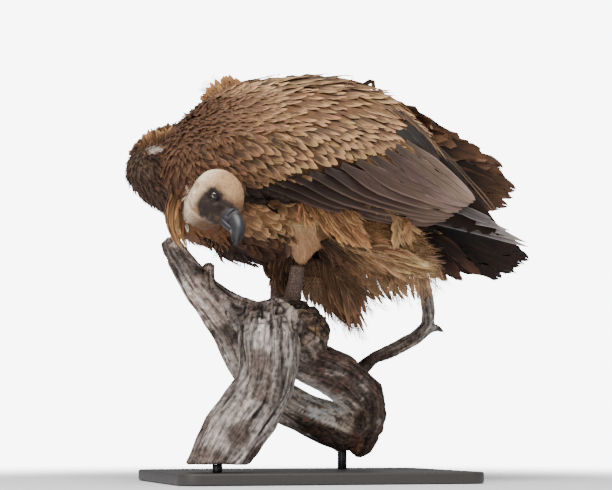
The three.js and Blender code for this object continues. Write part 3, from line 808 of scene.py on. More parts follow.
def drape(roots, ahead, out, length, lift):
    """Shafts that follow the body from their roots and rise off it towards their tips."""
    count = len(roots)
    spine = np.zeros((count, len(ROWS), 3))
    outward = np.zeros((count, len(ROWS), 3))
    here, way, out = roots.copy(), ahead.copy(), out.copy()
    for r, t in enumerate(ROWS):
        if r:
            here = here + way * (length * (t - ROWS[r - 1]))[:, None]
            near, normal, _ = GROUND.surface.nearest(here)
            off = here - near
            sideways = np.linalg.norm(off - normal * dot(off, normal), axis=1)
            grip = np.exp(-(sideways / 2.5) ** 2)[:, None]
            here = here + (near - here) * grip
            out = unit(out + (normal - out) * grip * 0.6)
            way = unit(way - out * dot(way, out) * grip)
        outward[:, r] = out
        spine[:, r] = here + out * (lift * t ** 1.2 - ROOT_SINK * (1 - t))[:, None]
    return spine, outward


def vanes(spine, outward, width, point, cup, split, wear=0.0, rows=ROWS, columns=COLUMNS):
    """Feather vanes on their shafts, cupped over the body, with parted and worn edges."""
    count = len(spine)
    ahead = unit(np.gradient(spine, axis=1))
    side = unit(np.cross(outward, ahead))
    out = unit(np.cross(ahead, side))
    half = width[:, None] / 2 * np.stack([vane_half(rows, p) for p in point])
    spread = columns[None, None, :] * np.ones((count, len(rows), len(columns)))
    edge = np.abs(columns) > 0.9
    parted = (rng.random((count, len(rows), len(columns))) < split) * edge * (rows > 0.3)[None, :, None]
    spread = spread * (1 - parted * rng.uniform(0.15, 0.5, spread.shape))
    reach = spread * half[:, :, None]
    drop = -cup * np.abs(reach) * np.abs(spread)
    slip = -wear * rng.random((count, 1, len(columns))) * (rows > 0.9)[None, :, None] * width[:, None, None]
    slip = slip + 0.1 * np.abs(reach) * (rows < 0.99)[None, :, None]
    grid = (spine[:, :, None] + side[:, :, None] * reach[..., None] + out[:, :, None] * drop[..., None]
            + ahead[:, :, None] * slip[..., None])
    return grid


def grid_batch(grid, rows, columns, root_uv, centre, fringe, grain):
    """Turns a block of strips into points, faces and the values the materials read."""
    count, r, c = grid.shape[:3]
    index = np.arange(count * r * c).reshape(count, r, c)
    quads = np.stack([index[:, :-1, :-1], index[:, :-1, 1:], index[:, 1:, 1:], index[:, 1:, :-1]],
                     axis=-1)
    u = np.broadcast_to((columns[None, None] + 1) / 2, (count, r, c))
    v = np.broadcast_to(rows[None, :, None], (count, r, c))
    vane = np.stack([u, v], axis=-1)
    bake = root_uv[:, None, None] + BAKE_PATCH * (vane - 0.5)
    each = np.repeat(np.arange(count), r * c)
    return {"points": grid.reshape(-1, 3), "quads": quads.reshape(-1, 4), "Vane": vane.reshape(-1, 2),
            "OFBake": bake.reshape(-1, 2), "centre": centre[each], "fringe": fringe[each],
            "grain": grain[each]}


MOST_QUADS = 95000


def coat_piece(name, batches, material, replaced=()):
    """Makes one mesh, or a few numbered ones, from blocks of feathers."""
    groups, size = [[]], 0
    for batch in batches:
        if size + len(batch["quads"]) > MOST_QUADS:
            groups.append([])
            size = 0
        groups[-1].append(batch)
        size += len(batch["quads"])
    made = []
    for number, group in enumerate(g for g in groups if g):
        starts = np.cumsum([0] + [len(b["points"]) for b in group[:-1]])
        quads = np.vstack([b["quads"] + s for b, s in zip(group, starts)])
        both = {key: np.concatenate([b[key] for b in group]) for key in group[0] if key != "quads"}
        obj = mesh_object(name if number == 0 else f"{name}_{number + 1}", both["points"], quads)
        for layer in ("OFBake", "Vane"):
            set_uv(obj.data, layer, both[layer])
        for layer in ("centre", "fringe"):
            set_colour(obj.data, layer, both[layer])
        set_value(obj.data, "grain", both["grain"])
        made.append(finish_piece(obj, material, replaced if number == 0 else ()))
    return made


def strips(roots, ahead, out, length, width, bend, uv, centre, grain):
    """Thin tapering blades: barbs, hairs and down."""
    t = BARB_ROWS[None, :, None]
    spine = roots[:, None] + ahead[:, None] * (length[:, None, None] * t) \
        + bend[:, None] * (length[:, None, None] * t ** 2)
    side = unit(np.cross(out, ahead))[:, None]
    half = (width[:, None] / 2 * (1 - 0.85 * BARB_ROWS[None] ** 1.5))[..., None]
    grid = np.stack([spine - side * half, spine + side * half], axis=2)
    return grid_batch(grid, BARB_ROWS, np.array([-1.0, 1.0]), uv, centre, centre, grain)


def plumes(spine, outward, reach, uv, centre, grain, pairs, barb, rows=ROWS, fan=(1.0, 0.35)):
    """Loose plumes: a shaft with hair-like barbs on both sides that lean towards the tip."""
    count = len(spine)
    parts = []
    ahead = unit(np.gradient(spine, axis=1))
    for k in range(pairs):
        t = 0.06 + 0.94 * (k + 0.5) / pairs
        low = int(np.clip(np.searchsorted(rows, t) - 1, 0, len(rows) - 2))
        f = (t - rows[low]) / (rows[low + 1] - rows[low])
        base = spine[:, low] + (spine[:, low + 1] - spine[:, low]) * f
        way, out = ahead[:, low], outward[:, low]
        side = unit(np.cross(out, way))
        lean = fan[0] + (fan[1] - fan[0]) * t
        for sign in (-1, 1):
            angle = lean * rng.uniform(0.75, 1.25, count)[:, None]
            start = unit(way * np.cos(angle) + sign * side * np.sin(angle)
                         + out * rng.normal(0.05, 0.16, count)[:, None])
            swell = 0.75 + 0.5 * math.sin(math.pi * min(t + 0.15, 1))
            long = reach * swell * rng.uniform(0.7, 1.25, count)
            parts.append(strips(base, start, out, long, np.full(count, barb),
                                0.35 * way - 0.1 * sign * side, uv, centre,
                                np.clip(grain + rng.normal(0, 0.16, count), 0, 1)))
    return parts


# ------------------------------------------------------------------ plumage by region
TAN, PALE_TAN, COFFEE, UMBER = linear("#BF9468"), linear("#D8B084"), linear("#785539"), linear("#4E3626")
RUSTY, THROAT, CREAM, BUFF = linear("#8C623F"), linear("#7A5136"), linear("#E6C49C"), linear("#C9A57A")
FACE, FACE_PALE, FACE_DARK = linear("#362B26"), linear("#66574D"), linear("#1A1513")

# the margin where the tan coverts end over the darker quills, as x and z
COVERT_EDGE = np.array([(-250, 372), (-190, 398), (-151, 413), (-116, 417), (-88, 420), (-68, 427),
                        (-45, 430), (-16, 437), (12, 445), (35, 451), (59, 458), (79, 466), (104, 474),
                        (134, 492), (170, 508), (260, 530)], float)
# the lie of the coverts: places and directions, both as x and z
WING_FLOW = np.array([
    (-230, 430, 0.25, -0.97), (-200, 400, 0.35, -0.94), (-215, 480, 0.55, -0.83),
    (-170, 440, 0.75, -0.66), (-180, 520, 0.85, -0.50), (-120, 430, 0.93, -0.36),
    (-110, 500, 0.92, -0.38), (-110, 560, 0.97, 0.05), (-40, 470, 0.80, -0.60),
    (-30, 540, 0.90, -0.42), (-10, 590, 1.00, 0.00), (40, 480, 0.72, -0.69),
    (60, 540, 0.78, -0.62), (70, 590, 0.97, -0.22), (110, 500, 0.74, -0.67),
    (130, 560, 0.80, -0.60), (170, 480, 0.75, -0.66), (200, 430, 0.78, -0.62),
    (-60, 440, 0.86, -0.50), (0, 450, 0.76, -0.65)], float)
BODY_FLOW = np.array([
    (-200, 0, 430, 0.50, 0, -0.85), (-160, -60, 350, 0.85, 0, -0.50), (-100, 0, 560, 0.95, 0, 0.25),
    (0, 0, 580, 1, 0, 0), (0, -90, 380, 0.92, 0, -0.38), (0, 0, 300, 1, 0, -0.05),
    (120, 0, 560, 1, 0, -0.2), (200, 0, 450, 0.9, 0, -0.4), (120, 0, 330, 1, 0, 0.0),
    (0, 90, 380, 0.92, 0, -0.38), (240, 0, 380, 0.95, 0, -0.3)], float)


def label_of(node):
    return FLESH.index(node)


def flow(points, guides, columns, reach):
    """A direction blended from guides near each point."""
    place = guides[:, :len(columns)]
    way = guides[:, len(columns):]
    gap = np.linalg.norm(points[:, None, columns] - place[None], axis=-1)
    weight = 1 / (gap ** 2 + reach ** 2) ** 2
    blend = (weight[..., None] * way[None]).sum(axis=1)
    if blend.shape[1] == 2:
        blend = np.stack([blend[:, 0], np.zeros(len(blend)), blend[:, 1]], axis=1)
    return unit(blend)


def lying(direction, normals):
    return unit(direction - normals * dot(direction, normals))


def wing_share(points):
    """0 at the wrist of a folded wing and 1 at its rear end."""
    return np.clip((points[:, 0] + 246) / 514, 0, 1)


def above_edge(points):
    return points[:, 2] - np.interp(points[:, 0], COVERT_EDGE[:, 0], COVERT_EDGE[:, 1])


def face_mask(points):
    """1 on the bare dark face, 0 on the downy crown, nape and throat."""
    q = to_head(points)
    side = np.hypot((q[:, 0] - 14) / 23, (q[:, 1] + 6) / 25)
    lore = np.hypot((q[:, 0] - 32) / 16, (q[:, 1] - 4) / 14)
    brow = np.hypot((q[:, 0] - 15) / 15, (q[:, 1] - 12) / 10)
    uneven = 0.16 * noise(points, 6.0, 8) + 0.12 * noise(points, 2.5, 10)
    reach = -np.log(np.exp(-5 * side) + np.exp(-5 * lore) + 0.6 * np.exp(-5 * brow)) / 5
    return smoothstep(1.28, 0.55, reach + uneven) * smoothstep(-9, 5, q[:, 0])


def sock_mask(points):
    """1 on the pale downy shin of the near leg."""
    return smoothstep(1.1, 0.85, offset_from(points, (-34, -92, 330), (32, 64, 25)))


# the tones of the softer plumage, by node: centre and fringe; the hood's centre is paler than its cream down,
# as painted light on the nape's rim
NODE_TONES = (("flank_plumes", "#84603F", "#C9A276"), ("belly_plumes", "#5E412D", "#A67E5A"),
              ("neck_lower", THROAT, RUSTY), ("neck_upper", "#FFEAD2", CREAM), ("head", CREAM, CREAM),
              ("thigh_left", BUFF, CREAM), ("thigh_right", UMBER, RUSTY))


def coat_zones(points, labels):
    """Zones of the body's coat as masks, centre and fringe colours, each laid over those before it."""
    x, y, z = points.T
    near, far, body = (labels == label_of(node) for node in ("wing_left", "wing_right", "trunk"))
    wing = near | far
    broad = noise(points, 60.0, 1)
    share = wing_share(points)
    shoulder = smoothstep(0.30, 0.12, share + 0.06 * broad)
    top = smoothstep(-45, -15, z - np.interp(x, [-120, 0, 60, 140], [575, 601, 598, 568])) * wing
    sunny = smoothstep(0.48, 0.72, share) * smoothstep(470, 510, z) * wing
    low = smoothstep(4, -8, above_edge(points))
    bright = smoothstep(355, 369, z + 5 * broad)
    front = smoothstep(-150, -190, x) * smoothstep(60, 100, y)
    rump = smoothstep(60, 110, x) * smoothstep(400, 440, z) * body
    zones = [(shoulder, "#57392A", "#7F583D"), (0.5 * top, TAN, None), (0.9 * top, None, PALE_TAN),
             (0.3 * sunny, TAN, None), (0.5 * sunny, None, PALE_TAN),
             # painted shadow: below its covert edge the near wing is painted near-black, where the coverts
             # shade it; the far wing there keeps its own darker tone
             (low * near, "#2A1A12", "#36241A"), (low * far, "#44332A", "#6E5646"),
             (smoothstep(420, 330, z) * body, blend("#361F14", "#BE8858", bright),
              blend("#583826", "#EEBF8C", bright)),
             (smoothstep(70, 130, x) * far, "#2C211C", "#6B4B36"), (front, "#4A3930", "#755A47"),
             (0.8 * rump, "#CBB9A4", "#DDD0C2")]
    zones += [(labels == label_of(node), inner, outer) for node, inner, outer in NODE_TONES]
    return zones + [(sock_mask(points), "#C89A72", "#DDB98F")]


def head_zones(points, head):
    """Zones of nape, crown, throat and bare face, as masks and colours in the order they are laid."""
    q = to_head(points)
    ahead, up = q[:, 0], q[:, 1]
    face = face_mask(points) * head
    # the back rim of the head, where the dark throat is held lower so that the painted rim light there stays
    # pale
    rim = smoothstep(-190, -212, points[:, 0])
    throat = smoothstep(386, 354, points[:, 2] + 26 * rim + 5 * noise(points, 12.0, 9)) * (1 - face)
    mottle = smoothstep(0.05, 0.5, noise(points, 7.0, 11)) * smoothstep(30, -6, up + 0.4 * ahead)
    gape = np.exp(-((ahead - 38) / 9) ** 2 - ((up + 8) / 8) ** 2)
    lores = smoothstep(24, 40, ahead) * smoothstep(-6, 6, up)
    grey = blend(FACE, FACE_PALE, np.clip(gape + 0.6 * lores + 0.35 * noise(points, 5.0, 12), 0, 1))
    lids = smoothstep(1.25, 0.7, np.hypot((ahead - EYE_AT[0]) / 10, (up - EYE_AT[1]) / 7))
    # the first zone is the nape's cream down painted paler still at the back of the head, as painted rim
    # light
    return ((smoothstep(4, -22, ahead) * head, "#FFE6C8"),
            (0.75 * smoothstep(-4, 26, ahead + 0.6 * up) * head, "#B48A60"),
            (0.6 * mottle * head, "#9A7048"), (0.9 * throat * head, "#64422C"),
            (face, grey), (0.85 * lids * face, FACE_DARK))


def feather_tones(points, labels):
    """The centre and fringe colours that a feather, and the skin under it, has at its place."""
    centre, fringe = np.tile(COFFEE, (len(points), 1)), np.tile(TAN, (len(points), 1))
    for where, inner, outer in coat_zones(points, labels):
        centre = centre if inner is None else blend(centre, inner, where)
        fringe = fringe if outer is None else blend(fringe, outer, where)
    head = np.isin(labels, [label_of("head"), label_of("neck_upper")])
    for where, tone in head_zones(points, head):
        centre = blend(centre, tone, where)
    return centre, blend(fringe, centre, head)


def vary(colours, amount, seed_points):
    """Feather to feather differences of tone, with broad drifts."""
    tone = 1 + amount * rng.normal(0, 1, len(colours)) + 0.5 * amount * noise(seed_points, 25.0, 5)
    warm = 1 + 0.35 * amount * rng.normal(0, 1, (len(colours), 3))
    return np.clip(colours * tone[:, None] * warm, 0.004, 0.9)


STRAY_TIP = 24.0        # a contour feather whose tip is further off the skin than this is left out
LEFT_OUT = 0.02         # the size, against its own, of a feather that is left out
UPRIGHT = 0.85          # where the lie points this much out of the skin, no feather grows
PARTING = -0.5          # where the lie points this much into the skin, the coat parts


def soft_edges(spine, out, width, uv, colour, grain):
    """Loose barbs that fray the outer half of a feather."""
    half = slice(len(ROWS) // 2 - 1, None)
    return plumes(spine[:, half], out[:, half], width, uv, colour, grain, pairs=8, barb=0.55,
                  rows=np.linspace(0, 1, len(ROWS[half])), fan=(0.7, 0.22))


def tones_at(roots):
    return feather_tones(roots, labels_at(roots))


def contour_tract(where, gap, length, heading, width, lift, point=0.45, spread=0.10, tone=0.15,
                  narrow=0.0, colours=tones_at, stretch=1.8, soft=0.0):
    """One tract of contour feathers laid like shingles over the skin."""
    roots, normals, uv = scatter(where, gap, heading, stretch)
    lies_flat = dot(unit(heading(roots)), normals)[:, 0] < UPRIGHT
    roots, normals, uv = roots[lies_flat], normals[lies_flat], uv[lies_flat]
    long = length(roots) * rng.uniform(0.88, 1.14, len(roots))
    way = heading(roots) + rng.normal(0, spread, (len(roots), 3))
    way = unit(lying(unit(way), normals))
    rise = lift * rng.uniform(0.6, 1.35, len(roots))
    centre, fringe = colours(roots)
    centre, fringe = vary(centre, tone, roots), vary(fringe, tone, roots)
    batches = []
    for some in np.array_split(np.arange(len(roots)), max(1, len(roots) // 1500)):
        spine, out = drape(roots[some], way[some], normals[some], long[some], rise[some])
        tips = spine[:, -1]
        stray = np.linalg.norm(tips - GROUND.surface.nearest(tips)[0], axis=1) > STRAY_TIP
        spine[stray] = spine[stray][:, :1] + LEFT_OUT * (spine[stray] - spine[stray][:, :1])
        broad = long[some] * np.where(stray, LEFT_OUT, width - narrow * rng.random(len(some)))
        grid = vanes(spine, out, broad, np.clip(rng.normal(point, 0.12, len(some)), 0, 1), cup=0.35,
                     split=0.25)
        grain = rng.random(len(some))
        batches.append(grid_batch(grid, ROWS, COLUMNS, uv[some], centre[some], fringe[some], grain))
        if soft:
            batches += soft_edges(spine, out, soft * long[some] * width * 0.5, uv[some], fringe[some], grain)
    return batches


def against_lie(heading):
    """1 where the lie of the coat runs straight into the surface, so that its feathers part."""
    return dot(unit(heading(GROUND.middle)), unit(GROUND.normals.mean(axis=1)))[:, 0] < PARTING


def in_nodes(*names):
    wanted = [label_of(n) for n in names]
    return lambda points, labels: np.isin(labels, wanted)


def steady(value):
    return lambda points: np.full(len(points), float(value))


def wing_heading(points):
    return flow(points, WING_FLOW, [0, 2], 26.0)


def body_heading(points):
    return flow(points, BODY_FLOW, [0, 1, 2], 60.0)


def covert_length(points):
    s = wing_share(points)
    return np.interp(s, [0, 0.12, 0.25, 0.42, 0.6, 1], [15, 19, 31, 46, 56, 52])


def covert_gap(points):
    s = wing_share(points)
    return np.interp(s, [0, 0.12, 0.25, 0.42, 0.6, 1], [3.7, 4.4, 6.6, 9.0, 10.0, 9.4])


def scapular_line(points):
    """How far a point is above the line where the long narrow scapulars begin."""
    return points[:, 2] - np.interp(points[:, 0], [-130, -60, 0, 60, 130], [556, 562, 570, 574, 566])


# the lowest row of the near wing's greater coverts: where their tips lie
COVERT_TIPS = [(-151, -159, 417), (-116, -157, 417), (-88, -162, 420), (-68, -168, 427), (-45, -169, 430),
               (-16, -170, 437), (12, -166, 445), (35, -164, 451), (59, -161, 458), (79, -154, 466),
               (104, -138, 474), (134, -112, 492)]


COVERT_ROWS, ROW_STEP = 3, 21


def covert_rows(mirror):
    """Three rows of greater coverts, each feather set by where its tip lies."""
    batches = []
    for row in reversed(range(COVERT_ROWS)):
        count = 25 - row
        tips = spline(COVERT_TIPS, (np.arange(count) + 0.5 * (row % 2)) / (count - 0.5))
        tips = tips * np.array([1, mirror, 1])
        way = wing_heading(tips)
        tips = tips - way * (row * ROW_STEP) + rng.normal(0, 2.4, tips.shape) * np.array([1, 0, 1])
        long = np.linspace(34, 60, count) * rng.uniform(0.9, 1.1, count)
        long = np.minimum(long, 60 - 4 * row)
        roots, normals, _ = GROUND.surface.nearest(tips - way * long[:, None])
        spine, out = drape(roots, lying(way, normals), normals, long, rng.uniform(4, 9, count) + 1.5)
        # the tones are those of the coverts just above, darkened as painted shade so that the rows stand out
        centre, fringe = feather_tones(roots + np.array([0, 0, 8]), np.full(count, label_of("wing_left")))
        centre, fringe = centre * 0.55, fringe * 0.88
        broad = long * rng.uniform(0.27, 0.33, count)
        grid = vanes(spine, out, broad, np.clip(rng.normal(0.4, 0.1, count), 0, 1), cup=0.3, split=0.15)
        batches.append(grid_batch(grid, ROWS, COLUMNS, GROUND.root_uv(roots), vary(centre, 0.12, roots),
                                  vary(fringe, 0.12, roots), rng.random(count)))
    return batches


def dress_wings():
    """Small, middle and greater coverts and scapulars of both folded wings."""
    parting = against_lie(wing_heading)
    for side, node, mirror in (("near", "wing_left", 1), ("far", "wing_right", -1)):
        mine = in_nodes(node)
        covered = lambda p, l: mine(p, l) & (above_edge(p) > np.interp(p[:, 0], [-130, -90], [-3, 30]))
        small = contour_tract(lambda p, l: covered(p, l) & (wing_share(p) < 0.3), covert_gap, covert_length,
                              wing_heading, width=0.40, lift=4.0, point=0.4, narrow=0.1, stretch=1.6,
                              spread=0.16, soft=0.8)
        upper = contour_tract(lambda p, l: covered(p, l) & (wing_share(p) >= 0.28) & (scapular_line(p) < 6),
                              covert_gap, covert_length, wing_heading, width=0.33, lift=6.5, narrow=0.1,
                              stretch=2.4, spread=0.12)
        on_top = lambda p, l: mine(p, l) & (scapular_line(p) > -2) & (p[:, 0] > -130) & (p[:, 0] < 120)
        scapulars = contour_tract(on_top, steady(6), steady(74), steady_way(1, 0, 0.03), width=0.14, lift=9,
                                  point=0.9, stretch=4.5, spread=0.05, colours=scapular_tones)
        # feathers below the covert edge; on the near wing they carry the painted shadow of that zone
        lower = contour_tract(lambda p, l: mine(p, l) & (above_edge(p) <= 4) & (p[:, 0] < -60), steady(7),
                              steady(30), wing_heading, width=0.4, lift=3, point=0.3)
        wrist = contour_tract(lambda p, l: mine(p, l) & parting & (wing_share(p) < 0.3), steady(4),
                              steady(15), steady_way(0.25, 0, -1), width=0.42, lift=3.5, point=0.4,
                              spread=0.3, soft=0.8)
        coat_piece(f"coverts_{side}_wing", wrist + small + upper + covert_rows(mirror) + scapulars + lower,
                   VANES)


def scapular_tones(points):
    return (blend("#33241A", "#7A5A3C", rng.random(len(points))),
            blend("#8A6543", "#CBA272", rng.random(len(points))))


def breast_length(points):
    """Shorter feathers round the near shin, longer ones further off."""
    near_leg = offset_from(points, (-30, -110, 365), (60, 60, 34))
    return mix(22.0, 38.0, smoothstep(0.7, 1.5, near_leg))


def dress_body():
    """Back, rump, breast and belly."""
    trunk = in_nodes("trunk")
    parting = against_lie(body_heading)
    back = contour_tract(lambda p, l: trunk(p, l) & (p[:, 2] > 400), steady(11), steady(42), body_heading,
                         width=0.5, lift=6.0)
    low = lambda p, l: trunk(p, l) & (p[:, 2] <= 400) & (sock_mask(p) < 0.5)
    breast = contour_tract(low, steady(9.0), breast_length, body_heading, width=0.52, lift=7.0, point=0.2,
                           spread=0.12, soft=0.5, tone=0.14)
    chest = contour_tract(lambda p, l: trunk(p, l) & parting & (p[:, 0] < -60), steady(7), steady(28),
                          steady_way(0, 0, -1), width=0.45, lift=5.0, point=0.3, spread=0.25, soft=0.5)
    thigh = contour_tract(in_nodes("thigh_right"), steady(7), steady(20), steady_way(0.35, 0, -0.94),
                          width=0.45, lift=3.0)
    neck = contour_tract(in_nodes("neck_lower"), steady(6.5), steady(22), steady_way(0.75, 0.35, -0.5),
                         width=0.3, lift=4.0, point=0.8)
    coat_piece("body_feathers", chest + back + breast + thigh + neck, VANES)


# ------------------------------------------------------------------ long quills
LONG_ROWS = np.array([0, 0.1, 0.22, 0.34, 0.46, 0.58, 0.69, 0.79, 0.87, 0.93, 0.97, 1.0])
WIDE_COLUMNS = np.array([-1.0, -0.72, -0.36, 0.0, 0.36, 0.72, 1.0])


def quills(paths, out, width, point, inner, outer, clearance=2.0, split=0.3, wear=0.1, layer=0.9,
           tone=0.08):
    """Long feathers, each on its own path of points, stacked in order and kept off the skin."""
    paths = np.asarray(paths, float)
    count = len(paths)
    spine = np.stack([spline(path, LONG_ROWS) for path in paths])
    outward = unit(np.broadcast_to(np.asarray(out, float), (count, 3)))
    outward = np.repeat(outward[:, None], len(LONG_ROWS), 1)
    spine = spine + outward * (layer * np.arange(count))[:, None, None]
    near, normal, _ = GROUND.surface.nearest(spine)
    near, normal = near.reshape(spine.shape), normal.reshape(spine.shape)
    height = dot(spine - near, normal)
    close = np.linalg.norm(spine - near, axis=-1, keepdims=True) < 25
    need = clearance + layer * np.arange(count)[:, None, None]
    spine = spine + normal * np.where(close, np.clip(need - height, 0, 30), 0)
    grid = vanes(spine, outward, np.broadcast_to(width, count).astype(float),
                 np.broadcast_to(point, count).astype(float), cup=0.12, split=split, wear=wear,
                 rows=LONG_ROWS, columns=WIDE_COLUMNS)
    uv = GROUND.root_uv(spine[:, 0])
    centre = vary(np.broadcast_to(linear(inner), (count, 3)), tone, spine[:, 0])
    fringe = vary(np.broadcast_to(linear(outer), (count, 3)), tone, spine[:, 0])
    return grid_batch(grid, LONG_ROWS, WIDE_COLUMNS, uv, centre, fringe, rng.random(count))


def guided(roots, tips, count, bow=(0, 0, 0), middle=None, *, jitter):
    """Paths whose roots and tips each run along a line of points."""
    k = np.linspace(0, 1, count)
    root, tip = spline(roots, k), spline(tips, k)
    half_way = (root + tip) / 2 + np.asarray(bow, float) if middle is None else spline(middle, k)
    paths = np.stack([root, half_way, tip], axis=1)
    return paths + rng.normal(0, 1, paths.shape) * jitter * np.array([0.3, 0.6, 1.0])[None, :, None]


def fan(roots, tips, count, out, width, point, inner, outer, bow=(0, 0, 0), middle=None, *, jitter,
        **settings):
    """Long feathers whose roots and tips each run along a line of points."""
    return quills(guided(roots, tips, count, bow, middle, jitter=jitter), out, width, point, inner, outer,
                  **settings)


def near_wing_quills():
    """Secondaries, primaries, the last coverts and the loose shafts behind them."""
    inward = np.linspace(0, 1, 11)[:, None] ** 2.2
    secondaries = fan(
        [(-97, -150, 410), (-69, -161, 417), (-36, -168, 428), (1, -167, 439), (39, -162, 452),
         (75, -154, 466), (104, -134, 480)],
        [(150, -126, 366), (167, -127, 370), (180, -126, 377), (191, -125, 384), (203, -122, 392),
         (212, -118, 398), (220, -115, 404)],
        11, (0.15, -1, 0.15), 26, 0.12, mix("#4E3B33", "#82695C", inward), mix("#7C6557", "#A08778", inward),
        middle=[(2, -143, 388), (17, -150, 395), (40, -157, 403), (62, -165, 411), (94, -157, 423),
                (124, -148, 435), (149, -136, 447)], jitter=1.2, wear=0.05, split=0.1, layer=0.8)
    primaries = fan([(120, -122, 376), (130, -124, 390), (150, -126, 402)],
                    [(318, -90, 341), (308, -90, 349), (286, -92, 360), (262, -94, 372)],
                    5, (0.15, -1, 0.1), 17, 0.85, "#6B6462", "#9D9691",
                    middle=[(214, -106, 368), (218, -108, 374), (218, -110, 384)], jitter=1.0, wear=0.1,
                    split=0.2, clearance=1.0)
    rusty = fan([(34, -162, 452), (66, -158, 462), (98, -142, 480)],
                [(72, -162, 433), (112, -150, 446), (138, -142, 446)],
                8, (0.15, -1, 0.2), 14, 0.3, "#94693F", "#C29566", jitter=2.0, clearance=5, split=0.2,
                layer=0.3)
    tertials = fan([(100, -122, 500), (114, -112, 506), (124, -102, 512)],
                   [(134, -142, 450), (146, -139, 450), (160, -131, 454)],
                   6, (0.2, -1, 0.3), 13, 0.5, "#1F1611", "#443227", bow=(3, -4, 2), jitter=1.5,
                   clearance=6, split=0.3, layer=0.5)
    rim = fan([(100, -74, 544), (118, -66, 540)], [(160, -116, 478), (176, -114, 458)],
              4, (0.3, -1, 0.5), 5.5, 0.9, "#5A4232", "#A9835C", bow=(4, -4, 4), jitter=2, clearance=5,
              split=0.4)
    shafts = quills(
        [[(140, -90, 520), (168, -98, 486), (200, -100, 454), (234, -100, 424), (266, -96, 390)],
         [(136, -92, 512), (162, -100, 478), (192, -104, 446), (222, -104, 416), (250, -100, 386)]],
        (0.3, -1, 0.5), 3.6, 0.8, "#4E3C30", "#A88E70", clearance=8.0, split=0.1)
    crest = quills([[(-40, -34, 588), (0, -38, 588), (40, -40, 584), (80, -40, 574), (112, -40, 556)]],
                   (0, -1, 0.7), 9, 0.35, "#5B4330", "#B28C60", clearance=3.0, split=0.2, layer=0.4)
    return [secondaries, primaries, rusty, tertials, rim, shafts, crest]


def far_wing_quills():
    """The far wing's primaries that show behind the tail, its secondaries and a loose tuft."""
    share = np.linspace(0, 1, 12)[:, None]
    flight = fan([(120, 40, 560), (150, 70, 530), (165, 98, 480), (160, 108, 420)],
                 [(262, 84, 532), (300, 94, 516), (334, 100, 497), (362, 101, 478), (376, 101, 452),
                  (366, 100, 430), (348, 98, 410), (318, 96, 396)],
                 12, (0.2, 1, 0.25), 42, 0.2, mix("#3B2A21", "#2A1D18", share),
                 mix("#8A6145", "#4A3428", share), bow=(0, 7, 6), jitter=3.0, wear=0.35, split=0.45)
    secondaries = fan([(-110, 142, 415), (-40, 150, 430), (30, 146, 446), (100, 130, 468)],
                      [(20, 140, 395), (90, 134, 388), (160, 122, 384), (240, 108, 392)],
                      11, (0.15, 1, 0.15), 34, 0.25, "#4C3B33", "#7E6A5A", bow=(0, 5, 5), jitter=1.5,
                      wear=0.06, split=0.12)
    tuft = fan([(160, 60, 552), (168, 62, 538), (192, 64, 524)],
               [(212, 60, 557), (223, 60, 547), (229, 60, 529)],
               7, (0, 0.4, 1), 13, 0.7, "#7A5840", "#A9794E", bow=(0, 0, 3), jitter=2, wear=0.2, split=0.5)
    return [flight, secondaries, tuft]


def tail_quills():
    """The tail's feathers and its coverts above and below."""
    tail = fan([(150, -46, 392), (150, 0, 396), (150, 46, 388)],
               [(318, -78, 335), (326, -72, 322), (320, -40, 311), (322, 0, 306), (320, 40, 303),
                (306, 72, 306)],
               15, (0.1, 0.5, 0.9), 54, 0.1, "#1A0E0A", "#2C1A14", bow=(0, 0, 6), jitter=3.0, wear=0.3,
               split=0.3, layer=0.5)
    above = fan([(110, -50, 430), (120, 0, 440), (110, 50, 430)],
                [(240, -52, 372), (252, 0, 362), (240, 52, 362)],
                14, (0.4, 0, 1), 30, 0.35, "#5A4434", "#8C6C50", bow=(0, 0, 10), jitter=5, clearance=4,
                layer=0.3)
    below = quills(
        [[(140, -50, 372), (196, -58, 344), (258, -46, 302)],
         [(130, -58, 362), (160, -62, 330), (188, -52, 300)],
         [(134, -40, 364), (190, -40, 330), (228, -36, 300)],
         [(140, 10, 360), (200, 10, 330), (250, 12, 300)],
         [(140, 45, 360), (195, 50, 334), (240, 52, 302)]],
        (0.3, -1, -0.4), 26, 0.3, "#24150F", "#5A3A2A", clearance=3, wear=0.15, split=0.5)
    return tail, above, below


